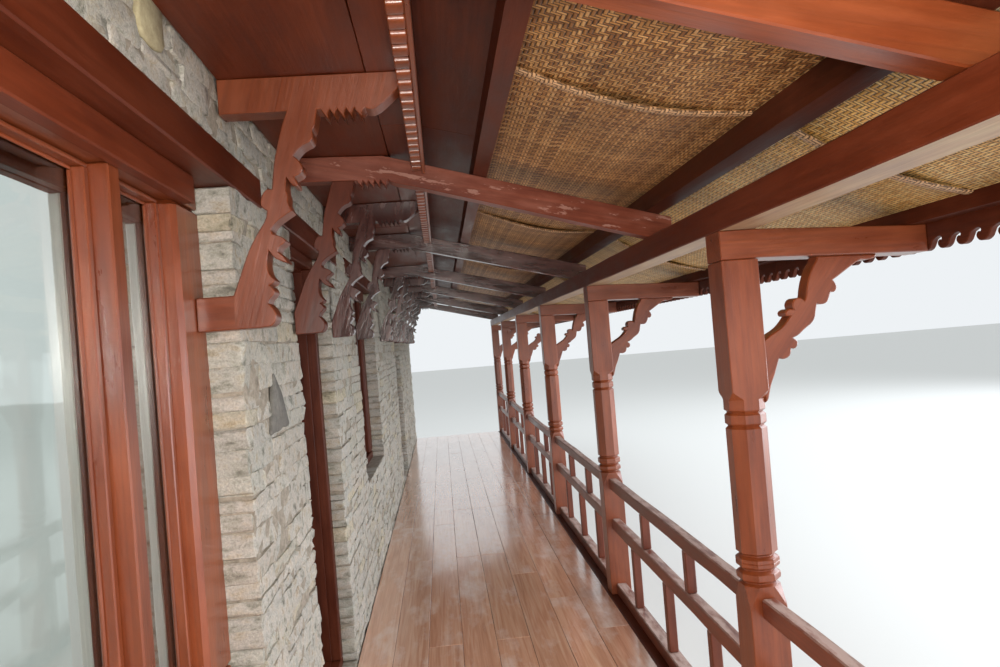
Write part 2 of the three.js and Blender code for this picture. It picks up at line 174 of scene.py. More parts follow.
# Oil enamel brushed on planed timber: a wet gloss, brush lines along the grain, and a coat that
# thins and dulls in patches. Where it has peeled, dusty grey-pink wood shows.
def enamelledTimber(coat):
    finish, add, link, shader, grain, tint = newFinish(coat["name"])
    brushPlace = add("VectorMath", {**multiply, 1: perMetre(170, 3, 3)}, {0: grain})[0]
    brush = add("TexNoise", {"Scale": 1, "Detail": 3}, {"Vector": brushPlace})["Fac"]
    ringPlace = add("VectorMath", {**multiply, 1: perMetre(420, 11, 11)}, {0: grain})[0]
    settings = {"Scale": 1, "Detail": 4, "Distortion": 0.6}
    rings = add("TexNoise", settings, {"Vector": ringPlace})["Fac"]
    patchPlace = add("VectorMath", {**multiply, 1: perMetre(300, 80, 80)}, {0: grain})[0]
    settings = {"Scale": 1, "Detail": 5, "Roughness": 0.6}
    patches = add("TexNoise", settings, {"Vector": patchPlace})["Fac"]
    stops = [(0.32, coat["thin"]), (0.5, coat["paint"]), (0.7, coat["thick"])]
    paint = add("ValToRGB", links={"Fac": patches}, stops=stops)["Color"]
    settings = {"From Min": 0.35, "From Max": 0.7, "To Min": 0.86, "To Max": 1.1}
    streak = add("MapRange", settings, {"Value": rings})[0]
    board = add("MapRange", {"To Min": 0.8, "To Max": 1.16}, {"Value": tint})[0]
    shade = add("Math", multiply, {0: streak, 1: board})[0]
    tinted = add("VectorMath", scaleBy, {0: paint, "Scale": shade})[0]
    settings = {"Scale": 2.2, "Detail": 8, "Roughness": 0.66}
    peel = add("TexNoise", settings, {"Vector": patchPlace})["Fac"]
    edge = 0.86 - 0.48 * coat["peeled"]
    chipped = add("MapRange", {"From Min": edge, "From Max": edge + 0.03}, {"Value": peel})[0]
    # Faces turned upwards go pale by the coat's worn share: partly worn paint, partly a painted
    # reflection of the sky on the rail tops
    facing = add("SeparateXYZ", links={0: add("NewGeometry")["Normal"]})["Z"]
    settings = {"From Min": 0.4, "From Max": 0.9, "To Max": coat["worn"]}
    upward = add("MapRange", settings, {"Value": facing})[0]
    settings = {"From Min": 0.36, "From Max": 0.56}
    handled = add("MapRange", settings, {"Value": peel})[0]
    rubbedAndPaintedSheen = add("Math", multiply, {0: upward, 1: handled})[0]
    bare = add("Math", {"operation": "MAXIMUM"}, {0: chipped, 1: rubbedAndPaintedSheen})[0]
    settings = {"data_type": "RGBA", 7: toLinear(coat["bare"])}
    link(add("Mix", settings, {0: bare, 6: tinted})[2], shader["Base Color"])
    least = coat["gloss"]
    settings = {"From Min": 0.3, "From Max": 0.75, "To Min": least, "To Max": least + 0.16}
    gloss = add("MapRange", settings, {"Value": patches})[0]
    dull = add("Math", {"operation": "MULTIPLY_ADD", 1: 0.4}, {0: bare, 2: gloss})[0]
    link(dull, shader["Roughness"])
    sawn = add("Bump", {"Distance": 0.0006, "Strength": 0.6}, {"Height": rings})[0]
    settings = {"Distance": 0.00022, "Strength": 0.7}
    brushed = add("Bump", settings, {"Height": brush, "Normal": sawn})[0]
    settings = {"Distance": 0.004, "Strength": 0.5}
    planed = add("Bump", settings, {"Height": patches, "Normal": brushed})[0]
    settings = {"Distance": 0.0007, "Strength": 0.8, "invert": True}
    flaked = add("Bump", settings, {"Height": bare, "Normal": planed})[0]
    link(flaked, shader["Normal"])
    shader["Specular IOR Level"].default_value = coat["sheen"]
    return finish


# Softwood planks under old varnish: reddish brown, scuffed pale by feet, glossy at a low angle
def varnishedPlank(name):
    finish, add, link, shader, grain, tint = newFinish(name)
    fibrePlace = add("VectorMath", {**multiply, 1: perMetre(260, 5, 5)}, {0: grain})[0]
    settings = {"Scale": 1, "Detail": 5, "Roughness": 0.6}
    fibre = add("TexNoise", settings, {"Vector": fibrePlace})["Fac"]
    figurePlace = add("VectorMath", {**multiply, 1: perMetre(900, 42, 42)}, {0: grain})[0]
    settings = {"Scale": 1, "Detail": 2, "Distortion": 1.4}
    figure = add("TexNoise", settings, {"Vector": figurePlace})["Fac"]
    scuffPlace = add("VectorMath", {**multiply, 1: perMetre(520, 210, 210)}, {0: grain})[0]
    settings = {"Scale": 1, "Detail": 6, "Roughness": 0.65}
    scuff = add("TexNoise", settings, {"Vector": scuffPlace})["Fac"]
    stops = [(0.3, "bf8a6c"), (0.5, "cf9c7e"), (0.72, "dab093")]
    varnish = add("ValToRGB", links={"Fac": figure}, stops=stops)["Color"]
    settings = {"From Min": 0.3, "From Max": 0.7, "To Min": 0.88, "To Max": 1.08}
    streak = add("MapRange", settings, {"Value": fibre})[0]
    board = add("MapRange", {"To Min": 0.93, "To Max": 1.07}, {"Value": tint})[0]
    shade = add("Math", multiply, {0: streak, 1: board})[0]
    tinted = add("VectorMath", scaleBy, {0: varnish, "Scale": shade})[0]
    worn = add("MapRange", {"From Min": 0.5, "From Max": 0.72, "To Max": 0.75}, {"Value": scuff})[0]
    settings = {"data_type": "RGBA", 7: toLinear("e6d4c9")}
    link(add("Mix", settings, {0: worn, 6: tinted})[2], shader["Base Color"])
    settings = {"From Min": 0.35, "From Max": 0.7, "To Min": 0.1, "To Max": 0.26}
    gloss = add("MapRange", settings, {"Value": scuff})[0]
    link(gloss, shader["Roughness"])
    ridges = add("Bump", {"Distance": 0.0008, "Strength": 0.6}, {"Height": fibre})[0]
    settings = {"Distance": 0.005, "Strength": 0.45}
    cupped = add("Bump", settings, {"Height": scuff, "Normal": ridges})[0]
    link(cupped, shader["Normal"])
    shader["IOR"].default_value = 1.5
    shader["Specular IOR Level"].default_value = 1.0
    shader["Coat Weight"].default_value = 0.8
    shader["Coat Roughness"].default_value = 0.12
    return finish


# Split, roughly dressed stone: matt, pale beige to grey, with pink and green casts by the bed
def splitStone(name):
    finish, add, link, shader, grain, tint = newFinish(name)
    stops = [(0.0, "b9b5ad"), (0.16, "c0bbb2"), (0.32, "b7b5ae"), (0.48, "c3beb5"), (0.6, "bab9b0")]
    stops += [(0.72, "beb7ad"), (0.84, "b4b3ab"), (1.0, "c4bba6")]
    bed = add("ValToRGB", links={"Fac": tint}, stops=stops)["Color"]
    stainPlace = add("VectorMath", {**multiply, 1: perMetre(90, 45, 45)}, {0: grain})[0]
    settings = {"Scale": 1, "Detail": 6, "Roughness": 0.65}
    stain = add("TexNoise", settings, {"Vector": stainPlace})["Fac"]
    stops = [(0.3, "8c8d85"), (0.4, "d8dad2"), (0.5, "ffffff"), (0.6, "f6efe2"), (0.72, "cdbb9e")]
    weather = add("ValToRGB", links={"Fac": stain}, stops=stops)["Color"]
    settings = {"data_type": "RGBA", "blend_type": "MULTIPLY", 0: 0.9}
    stained = add("Mix", settings, {6: bed, 7: weather})[2]
    settings = {"Scale": 1000 / 7, "Detail": 5, "Roughness": 0.7}
    grit = add("TexNoise", settings, {"Vector": grain})["Fac"]
    settings = {"From Min": 0.35, "From Max": 0.66, "To Min": 0.74, "To Max": 1.16}
    pale = add("MapRange", settings, {"Value": grit})[0]
    link(add("VectorMath", scaleBy, {0: stained, "Scale": pale})[0], shader["Base Color"])
    shader["Roughness"].default_value = 0.88
    chips = add("Bump", {"Distance": 0.01, "Strength": 0.8}, {"Height": stain})[0]
    settings = {"Distance": 0.004, "Strength": 0.85}
    gritty = add("Bump", settings, {"Height": grit, "Normal": chips})[0]
    link(gritty, shader["Normal"])
    shader["IOR"].default_value = 1.5
    return finish


# Mud and lime mortar pressed into the joints: dull, sandy, darker than the stone
def mudMortar(name, colours):
    finish, add, link, shader, grain, tint = newFinish(name)
    settings = {"Scale": 1000 / 30, "Detail": 7, "Roughness": 0.7}
    lump = add("TexNoise", settings, {"Vector": grain})["Fac"]
    stops = [(0.34, colours[0]), (0.66, colours[1])]
    link(add("ValToRGB", links={"Fac": lump}, stops=stops)["Color"], shader["Base Color"])
    shader["Roughness"].default_value = 0.95
    sandy = add("Bump", {"Distance": 0.005, "Strength": 0.8}, {"Height": lump})[0]
    link(sandy, shader["Normal"])
    return finish


# Split bamboo in a two-over-two-under twill: satin skin, each strip its own shade of straw
def twilledBamboo(name, mat):
    finish, add, link, shader, grain, tint = newFinish(name)
    strip = 1000 / mat["strip"]
    settings = {"operation": "MULTIPLY_ADD", 1: [strip] * 3, 2: [4000] * 3}
    cells = add("VectorMath", settings, {0: grain})[0]
    axes = add("SeparateXYZ", links={0: cells})
    column = add("Math", {"operation": "FLOOR"}, {0: axes["X"]})[0]
    row = add("Math", {"operation": "FLOOR"}, {0: axes["Y"]})[0]
    diagonal = add("Math", {"operation": "ADD"}, {0: column, 1: row})[0]
    step = add("Math", {"operation": "FLOORED_MODULO", 1: 4}, {0: diagonal})[0]
    over = add("Math", {"operation": "LESS_THAN", 1: 1.5}, {0: step})[0]
    otherWay = add("Math", {"operation": "ADD", 1: 0.37}, {0: row})[0]
    stripNumber = add("Mix", {"data_type": "FLOAT"}, {0: over, 2: column, 3: otherWay})[0]
    across = add("Mix", {"data_type": "FLOAT"}, {0: over, 2: axes["X"], 3: axes["Y"]})[0]
    fromEdge = add("Math", {"operation": "PINGPONG", 1: 0.5}, {0: across})[0]
    chance = add("TexWhiteNoise", {"noise_dimensions": "1D"}, {"W": stripNumber})["Value"]
    straw = add("ValToRGB", links={"Fac": chance}, stops=mat["straw"])["Color"]
    fibreX = add("VectorMath", {**multiply, 1: perMetre(1.6, 60, 10)}, {0: grain})[0]
    fibreY = add("VectorMath", {**multiply, 1: perMetre(60, 1.6, 10)}, {0: grain})[0]
    way = add("Mix", {"data_type": "VECTOR"}, {0: over, 4: fibreX, 5: fibreY})[1]
    fibre = add("TexNoise", {"Scale": 1, "Detail": 2}, {"Vector": way})["Fac"]
    settings = {"From Min": 0.3, "From Max": 0.7, "To Min": 0.82, "To Max": 1.1}
    streak = add("MapRange", settings, {"Value": fibre})[0]
    # Each strip is painted darker towards its edges, as shade in the slits between strips
    settings = {"From Min": 0.02, "From Max": 0.3, "To Min": 0.06}
    paintedSlitShade = add("MapRange", settings, {"Value": fromEdge})[0]
    age = add("TexNoise", {"Scale": 1000 / 260, "Detail": 5}, {"Vector": grain})["Fac"]
    settings = {"From Min": 0.35, "From Max": 0.66, "To Min": 0.72, "To Max": 1.08}
    smoke = add("MapRange", settings, {"Value": age})[0]
    shade = add("Math", multiply, {0: streak, 1: paintedSlitShade})[0]
    darkness = add("Math", multiply, {0: shade, 1: smoke})[0]
    link(add("VectorMath", scaleBy, {0: straw, "Scale": darkness})[0], shader["Base Color"])
    shader["Roughness"].default_value = 0.5
    crown = add("Bump", {"Distance": 0.003, "Strength": 0.8}, {"Height": paintedSlitShade})[0]
    settings = {"Distance": 0.0004, "Strength": 0.5}
    fibrous = add("Bump", settings, {"Height": fibre, "Normal": crown})[0]
    link(fibrous, shader["Normal"])
    return finish


# White gloss on planed timber: clean, faintly brushed
def whiteGloss(name):
    finish, add, link, shader, grain, tint = newFinish(name)
    brushPlace = add("VectorMath", {**multiply, 1: perMetre(170, 3, 3)}, {0: grain})[0]
    brush = add("TexNoise", {"Scale": 1, "Detail": 4}, {"Vector": brushPlace})["Fac"]
    stops = [(0.3, "e2e2df"), (0.62, "f2f2ee")]
    link(add("ValToRGB", links={"Fac": brush}, stops=stops)["Color"], shader["Base Color"])
    shader["Roughness"].default_value = 0.34
    link(add("Bump", {"Distance": 0.0004, "Strength": 0.6}, {"Height": brush})[0], shader["Normal"])
    return finish


# Drawn sheet glass: clear, a little green, not quite flat
def sheetGlass(name):
    finish, add, link, shader, grain, tint = newFinish(name)
    shader["Base Color"].default_value = toLinear("dfe8e2")
    shader["Roughness"].default_value = 0.03
    shader["Transmission Weight"].default_value = 1.0
    shader["IOR"].default_value = 1.46
    ripple = add("TexNoise", {"Scale": 1000 / 220, "Detail": 1}, {"Vector": grain})["Fac"]
    wavy = add("Bump", {"Distance": 0.004, "Strength": 0.25}, {"Height": ripple})[0]
    link(wavy, shader["Normal"])
    return finish


# Hot-dipped galvanised sheet, weathered: dull zinc bloom, spangle and rust running down the slope
def galvanisedSheet(name):
    finish, add, link, shader, grain, tint = newFinish(name)
    spangle = add("TexVoronoi", {"Scale": 1000 / 14}, {"Vector": grain})["Color"]
    crystal = add("SeparateColor", links={0: spangle})[0]
    settings = {"Scale": 1000 / 380, "Detail": 7, "Roughness": 0.62}
    bloom = add("TexNoise", settings, {"Vector": grain})["Fac"]
    stops = [(0.32, "7d807f"), (0.68, "b3b6b5")]
    zinc = add("ValToRGB", links={"Fac": bloom}, stops=stops)["Color"]
    facet = add("MapRange", {"To Min": 0.9, "To Max": 1.08}, {"Value": crystal})[0]
    shaded = add("VectorMath", scaleBy, {0: zinc, "Scale": facet})[0]
    runPlace = add("VectorMath", {**multiply, 1: perMetre(700, 45, 45)}, {0: grain})[0]
    run = add("TexNoise", {"Scale": 1, "Detail": 6, "Roughness": 0.7}, {"Vector": runPlace})["Fac"]
    rust = add("MapRange", {"From Min": 0.58, "From Max": 0.72, "To Max": 0.75}, {"Value": run})[0]
    settings = {"data_type": "RGBA", 7: toLinear("7a4a30")}
    link(add("Mix", settings, {0: rust, 6: shaded})[2], shader["Base Color"])
    link(add("MapRange", {"To Min": 0.85, "To Max": 0.1}, {"Value": rust})[0], shader["Metallic"])
    dull = add("MapRange", {"To Min": 0.38, "To Max": 0.62}, {"Value": bloom})[0]
    link(dull, shader["Roughness"])
    return finish


# Enamel coats: the finish, its even paint, where that is thin and where it is thick, the wood under
# it, the shares peeled and worn off, roughness where it is glossiest, and sheen
coatColumns = ("name", "paint", "thin", "thick", "bare", "peeled", "worn", "gloss", "sheen")
coats = {
    # the plate's downward faces: partly paler wood, partly a painted reflection of the bright
    # ground outside
    "paleUnderAndReflection": (
        "faded_underside_of_the_plate", "a38567", "8f6f52", "b09a7c", "b8ac96", 0.4, 0.0, 0.4, 0.3
    ),
    "bright": (
        "brushed_orange_brown_enamel_on_timber", "7c3a1a", "6c3016", "8a4421", "b59a8c", 0.0, 0.0,
        0.26, 0.8,
    ),
    "mid": (
        "brushed_red_brown_enamel_on_timber", "5e2814", "502010", "6a311c", "a58a7e", 0.0, 0.0,
        0.34, 0.2,
    ),
    "dark": (
        "brushed_dark_red_brown_enamel_on_timber", "4e2213", "40190d", "5a2b1a", "a08a80", 0.0, 0.0,
        0.34, 0.14,
    ),
    # far: the enamel made darker for the brackets further along the gallery, as painted shade
    "far": (
        "smoke_darkened_enamel_on_timber", "4a211a", "321511", "6a3b31", "8d7a72", 0.1, 0.2, 0.14,
        1.0,
    ),
    "old": (
        "old_peeling_enamel_on_timber", "80422f", "6c3425", "965a48", "a87a6c", 0.56, 0.0, 0.34, 0.3
    ),
    "rail": (
        "handled_enamel_on_rail_timber", "6e3522", "5b291a", "80432e", "c0aaa0", 0.3, 0.8, 0.28, 0.5
    ),
}
finishes = {key: enamelledTimber(dict(zip(coatColumns, row))) for key, row in coats.items()}
finishes |= {
    "plank": varnishedPlank("worn_varnish_on_softwood_planks"),
    "stone": splitStone("split_and_dressed_stone"),
    "mortar": mudMortar("mud_and_lime_mortar", ("7d7568", "aea596")),
    "patch": mudMortar("grey_cement_patch", ("62615c", "7c7a74")),
    "mud": mudMortar("yellow_mud_patch", ("968c6e", "b3aa8a")),
    "white": whiteGloss("white_gloss_on_timber"),
    "glass": sheetGlass("drawn_sheet_glass"),
    "zinc": galvanisedSheet("weathered_galvanised_sheet"),
}
# The outer straw is lighter than the inner as painted daylight from the open side
matColours = {
    "inner": [(0.0, "8c5a2e"), (0.4, "cb9353"), (0.75, "e8b577"), (1.0, "a87442")],
    "outer": [(0.0, "cf9848"), (0.4, "efba6c"), (0.75, "f8d48e"), (1.0, "dea95a")],
    "selvedge": [(0.0, "d2a273"), (0.4, "e0b080"), (0.75, "e8bd90"), (1.0, "d8a878")],
}
for side, straw in matColours.items():
    finishes[side + "Mat"] = twilledBamboo(
        f"twilled_split_bamboo_{side}", {"strip": 12, "straw": straw}
    )
print("finishes mixed")


# Mesh helpers. A batch gathers closed shapes, in metres from the first post, that become one piece.
handwork = {
    "swayStep": 0.3,  # a planed face wanders a little over this length
    "logLength": 40,  # each timber takes its grain from a place of its own in this much pattern
    "quarryLength": 30,  # and each stone from this much
    "cornerShare": 0.25,  # of an outline's edges, cut off at each soft corner
    "leastMitre": 0.5,
}


def newBatch():
    return {"points": [], "grain": [], "tint": [], "faces": [], "slots": [], "count": 0}


def addShape(batch, points, faces, grain, slot=0):
    start = batch["count"]
    batch["points"].append(np.asarray(points, float))
    batch["grain"].append(np.asarray(grain, float))
    batch["tint"].append(np.full(len(points), random.random()))
    batch["faces"] += [[start + i for i in face] for face in faces]
    batch["slots"] += [slot] * len(faces)
    batch["count"] += len(points)


def finishPiece(name, batch, used, replaced=(), sharp=35):
    mesh = bpy.data.meshes.new(name)
    mesh.from_pydata((np.concatenate(batch["points"]) + toRow).tolist(), [], batch["faces"])
    for key, kind, field in (("grain", "FLOAT_VECTOR", "vector"), ("tint", "FLOAT", "value")):
        attribute = mesh.attributes.new(key, kind, "POINT")
        attribute.data.foreach_set(field, np.concatenate(batch[key]).ravel())
    for key in used:
        mesh.materials.append(finishes[key])
    mesh.polygons.foreach_set("material_index", batch["slots"])
    mesh.shade_smooth()
    mesh.set_sharp_from_angle(angle=math.radians(sharp))
    piece = bpy.data.objects.new(name, mesh)
    bpy.context.scene.collection.objects.link(piece)
    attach(piece, "root")
    if replaced:
        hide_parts(*replaced)
    print(f"{name}: {sum(len(face) - 2 for face in batch['faces'])} triangles")
    return piece


# Sections swept one after another and closed with a cap at each end
def addLoft(batch, sections, grain, slot=0):
    sections = np.asarray(sections, float)
    count, around = sections.shape[:2]
    ring = np.arange(around)
    after = np.roll(ring, -1)
    faces = [ring.tolist()]
    for k in range(count - 1):
        low, high = k * around, (k + 1) * around
        faces += np.stack([low + ring, high + ring, high + after, low + after], 1).tolist()
    faces.append((ring[::-1] + (count - 1) * around).tolist())
    points = sections.reshape(-1, 3)
    centred = points - points.mean(0)
    fans = np.array(
        [(face[0], face[i], face[i + 1]) for face in faces for i in range(1, len(face) - 1)]
    )
    corners = centred[fans]
    if np.einsum("ij,ij->i", corners[:, 0], np.cross(corners[:, 1], corners[:, 2])).sum() < 0:
        faces = [face[::-1] for face in faces]
    addShape(batch, points, faces, grain, slot)


# Grain coordinates: first along the timber, then across it, from a place of its own in the log
def grainAlong(points, along):
    along = np.asarray(along, float) / np.linalg.norm(along)
    aside = np.cross(along, (0.3, 0.2, 1) if abs(along[2]) < 0.8 else (1, 0.2, 0.1))
    aside /= np.linalg.norm(aside)
    turned = np.stack([points @ along, points @ aside, points @ np.cross(along, aside)], -1)
    return turned.reshape(-1, 3) + random.uniform(0, handwork["logLength"], 3)


# A squared timber between two points, with eased corners. Width lies across it and depth along up.
# Its faces wander a little, as hand-planed timber does.
def addBar(batch, start, end, width, depth, up=(0, 0, 1), edge=0.003, slot=0, sway=0.0007):
    start, end = np.array(start, float), np.array(end, float)
    length = np.linalg.norm(end - start)
    along = (end - start) / length
    across = np.cross(along, up)
    across /= np.linalg.norm(across)
    deepWay = np.cross(across, along)
    w, d = width / 2, depth / 2
    ring = np.array([(w - edge, -d), (w, edge - d), (w, d - edge), (w - edge, d)])
    ring = np.concatenate([ring, -ring])
    inset = ring * ((w - edge) / w, (d - edge) / d)
    middles = np.linspace(edge, length - edge, max(2, round(length / handwork["swayStep"]) + 1))
    sections = []
    for place in [0, *middles, length]:
        shape = inset if place in (0, length) else ring
        if edge < place < length - edge:
            shape = shape * (1 + random.normal(0, sway, 2) / (w, d)) + random.normal(0, sway / 2, 2)
        sections.append(start + along * place + shape[:, :1] * across + shape[:, 1:] * deepWay)
    sections = np.array(sections)
    addLoft(batch, sections, grainAlong(sections - start, along), slot)


def addRun(batch, x, z, y0, y1, width, depth, **more):
    addBar(batch, (x, y0, z), (x, y1, z), width, depth, **more)


def addUpright(batch, x, y, z0, z1, width, depth, **more):
    addBar(batch, (x, y, z0), (x, y, z1), width, depth, up=(1, 0, 0), **more)


# Cuts the corners of an outline, except those that a third value keeps sharp
def soften(outline):
    rounded, share = [], handwork["cornerShare"]
    for i, point in enumerate(outline):
        if len(point) > 2:
            rounded.append(point[:2])
            continue
        for near in (outline[i - 1], outline[(i + 1) % len(outline)]):
            rounded.append([point[k] + share * (near[k] - point[k]) for k in (0, 1)])
    return rounded


def inMm(outline):
    return [(1000 * a, 1000 * b) for a, b in outline]


# A flat outline in mm sawn out of a board. Its corners are eased by a narrow mitred chamfer.
def addCut(batch, outline, plane, low, high, along, edge=0.0025, slot=0):
    flat = np.array(outline, float) / 1000
    ahead = np.roll(flat, -1, 0) - flat
    if np.sum(flat[:, 0] * ahead[:, 1] - flat[:, 1] * ahead[:, 0]) < 0:
        flat = flat[::-1]
        ahead = np.roll(flat, -1, 0) - flat
    ahead /= np.linalg.norm(ahead, axis=1)[:, None]
    inward = np.stack([-ahead[:, 1], ahead[:, 0]], 1)
    inwardBefore = np.roll(inward, 1, 0)
    share = 1 + np.sum(inward * inwardBefore, 1)
    mitre = (inward + inwardBefore) / np.maximum(share, handwork["leastMitre"])[:, None]
    inset = flat + mitre * edge
    sections = []
    for place, shape in ((low, inset), (low + edge, flat), (high - edge, flat), (high, inset)):
        section = np.full((len(shape), 3), place)
        section[:, "xyz".index(plane[0])] = shape[:, 0]
        section[:, "xyz".index(plane[1])] = shape[:, 1]
        sections.append(section)
    sections = np.array(sections)
    addLoft(batch, sections, grainAlong(sections, along), slot)


# The quads of a grid of points, and its outer points in order
def gridFaces(across, up):
    index = np.arange(across * up).reshape(across, up)
    quads = np.stack([index[:-1, :-1], index[1:, :-1], index[1:, 1:], index[:-1, 1:]], -1)
    loop = np.concatenate([index[:, 0], index[-1, 1:], index[-2::-1, -1], index[0, -2:0:-1]])
    return quads.reshape(-1, 4), loop


# A block with one worked face: u runs along the face, v up it and out away from it. The face has
# its own grid of points, so that it can be dished, tilted and chipped.
def addFaced(batch, place, span, rise, depth, look, grid, rings=(0.02,), slot=0):
    (u0, u1), (v0, v1), (columns, rows) = span, rise, grid
    rim = min(look["rim"], 0.24 * (v1 - v0), 0.24 * (u1 - u0))

    def ticks(low, high, count):
        inner = np.linspace(low + rim, high - rim, max(2, count))
        return np.concatenate([[low], inner, [high]])

    u, v = np.meshgrid(ticks(u0, u1, columns), ticks(v0, v1, rows), indexing="ij")
    across, up = u.shape
    su, sv = (u - u0) / (u1 - u0), (v - v0) / (v1 - v0)
    corner = random.normal(0, look["skew"], (2, 2, 2))
    weights = [
        ((i, j), (su if i else 1 - su), (sv if j else 1 - sv)) for i in (0, 1) for j in (0, 1)
    ]
    skew = sum(corner[which][:, None, None] * a * b for which, a, b in weights)
    atSide, atEnd = (su == 0) | (su == 1), (sv == 0) | (sv == 1)
    onRim, atCorner = atSide | atEnd, atSide & atEnd
    wander = random.normal(0, look["wander"], (2, across, up)) * np.where(onRim, 1, 0.6)
    cut = np.where(atCorner, rim * 0.5, 0)
    u = u + skew[0] + wander[0] + cut * np.sign(0.5 - su)
    v = v + skew[1] + wander[1] + cut * np.sign(0.5 - sv) * 0.7
    tilt = random.normal(0, look["tilt"], 2)
    n = look["face"] + random.normal(0, look["proud"]) + tilt[0] * (su - 0.5) + tilt[1] * (sv - 0.5)
    n = n + random.normal(0, look["rough"], n.shape)
    n = n - np.where(onRim, look["drop"] * random.uniform(0.6, 1.3, n.shape), 0)
    n = np.minimum(n, look["most"])
    quads, loop = gridFaces(across, up)
    faces = quads.tolist()
    local = [np.stack([u, v, n], -1).reshape(-1, 3)]
    rimPoints = local[0][loop]
    previous, total, size = loop, across * up, len(loop)
    for ring in (*rings, depth):
        below = rimPoints.copy()
        below[:, 2] = -ring
        if ring != depth:
            below[:, :2] += random.normal(0, look["wander"], (size, 2))
        local.append(below)
        current = np.arange(total, total + size)
        wall = np.stack([previous, current, np.roll(current, -1), np.roll(previous, -1)], 1)
        faces += wall.tolist()
        previous, total = current, total + size
    faces.append(previous[::-1].tolist())
    local = np.concatenate(local)
    for axis, limit in enumerate(place.get("limits", ())):
        local[:, axis] = np.clip(local[:, axis], *limit)
    points = place["origin"] + local @ np.array([place["u"], (0, 0, 1), place["out"]], float)
    addShape(batch, points, faces, points + random.uniform(0, handwork["quarryLength"], 3), slot)


print("helpers ready")

# House wall: split stone in thin level courses, bedded in mud and lime mortar
stonework = {
    "front": {
        "course": (0.042, 0.078), "high": (0.05, 0.085), "length": (0.14, 0.42), "quoin": 0.21
    },
    "back": {"course": (0.09, 0.15), "high": (0.09, 0.15), "length": (0.22, 0.5), "quoin": 0.234},
    "plinth": {"course": (0.08, 0.13), "high": (0.08, 0.13), "length": (0.18, 0.46), "quoin": 0.2},
    "joint": 0.0032,
    "jointClear": 0.045,  # least distance from a joint in the course below
    "tries": 6,
    "unevenBed": 0.0016,
    "splitShare": 0.16,
    "splitAbove": 0.07,
    "fineUntil": 3.9,
    "fineStep": 0.052,
    "fineRow": 0.042,
    "coarseStep": 0.12,
    "rings": (0.018, 0.08),
    "bondDepth": 0.1,
    "coreInset": 0.011,
    "coreStep": 0.05,
    "patch": (-0.012, 0.004),
}
stoneSharp = 48
# How a face is worked, in metres: the rim at its edge, skewed corners, wandering edge, tilt, its
# mean place, how that varies, roughness, the fall at the rim and the furthest it may stand out
lookColumns = ("rim", "skew", "wander", "tilt", "face", "proud", "rough", "drop", "most")
worked = (0.009, 0.0035, 0.0012, 0.0035, -0.006, 0.0035, 0.0026, 0.002, 0.004)
frontLook = dict(zip(lookColumns, worked))
backLook = {**frontLook, "skew": 0.005, "face": -0.008, "proud": 0.003, "most": -0.0005}
plinthLook = {**frontLook, "face": -0.003, "most": -0.0002}
mortarLook = dict(zip(lookColumns, (0.01, 0, 0, 0, -0.013, 0, 0.0045, 0, -0.002)))
wallBack = -setOut["wallThickness"]
groundLevel = -setOut["groundDrop"]


# The stretches of masonry between the openings at one height, as (from, to)
def wallStretches(v):
    edges = [galleryStart]
    for opening in openings:
        low, high = (setOut["windowSill"] if opening["window"] else 0), setOut["lintelTop"]
        spread = setOut["lintelBearing"] if v > setOut["lintelBottom"] else 0
        if low <= v < high:
            edges += [opening["from"] - spread, opening["to"] + spread]
    edges.append(galleryEnd)
    return list(zip(edges[::2], edges[1::2]))


wallBands = [groundLevel, 0]
wallBands += [setOut[key] for key in ("windowSill", "lintelBottom", "lintelTop", "wallTop")]


def coursesBetween(low, high, sizes):
    places = [low]
    while high - places[-1] > sizes[1] * 1.05:
        places.append(places[-1] + random.uniform(*sizes))
    if len(places) > 1 and high - places[-1] < sizes[0] * 0.8:
        places.pop()
    return [*places, high]


def jointsBetween(low, high, sizes, below):
    places = [low]
    while high - places[-1] > sizes[1] * 1.2:
        for _ in range(stonework["tries"]):
            place = places[-1] + random.uniform(*sizes)
            if all(abs(place - other) > stonework["jointClear"] for other in below):
                break
        places.append(place)
    return [*places, high]


# Lays one face of masonry. Stretches come as functions of height, in the face's own u.
def layStones(batch, place, bands, stretches, look, sizes, fine=lambda u: False):
    gap = stonework["joint"] / 2
    below = []
    for low, high in zip(bands, bands[1:]):
        heights = sizes["high" if low >= setOut["lintelTop"] else "course"]
        courses = coursesBetween(low, high, heights)
        for bottom, top in zip(courses, courses[1:]):
            joints = []
            for start, end in stretches((bottom + top) / 2):
                places = jointsBetween(start, end, sizes["length"], below)
                joints += places[1:-1]
                for u0, u1 in zip(places, places[1:]):
                    isQuoin = u0 == start or u1 == end
                    splits = [bottom, top]
                    canSplit = top - bottom > stonework["splitAbove"] and not isQuoin
                    if canSplit and random.random() < stonework["splitShare"]:
                        splits.insert(1, bottom + (top - bottom) * random.uniform(0.4, 0.6))
                    near = fine(u0)
                    step = stonework["fineStep" if near else "coarseStep"]
                    columns = max(2, round((u1 - u0) / step) + 1)
                    for v0, v1 in zip(splits, splits[1:]):
                        rows = max(2, round((v1 - v0) / stonework["fineRow"])) if near else 2
                        lift = random.normal(0, stonework["unevenBed"], 2)
                        v0Here = v0 + gap + (lift[0] if v0 > low else 0)
                        v1Here = v1 - gap + (lift[1] if v1 < high else 0)
                        span = (u0 + (0 if u0 == start else gap), u1 - (0 if u1 == end else gap))
                        rings = stonework["rings"][: 1 + isQuoin] if near else ()
                        depth = sizes["quoin"] if isQuoin else stonework["bondDepth"]
                        rise, grid = (v0Here, v1Here), (columns, rows)
                        addFaced(batch, place, span, rise, depth, look, grid, rings)
            below = joints


def wallFace(x, along, out, u0, u1):
    limits = ((u0, u1), (groundLevel, setOut["wallTop"]))
    return {"origin": (x, 0, 0), "u": (0, along, 0), "out": (out, 0, 0), "limits": limits}


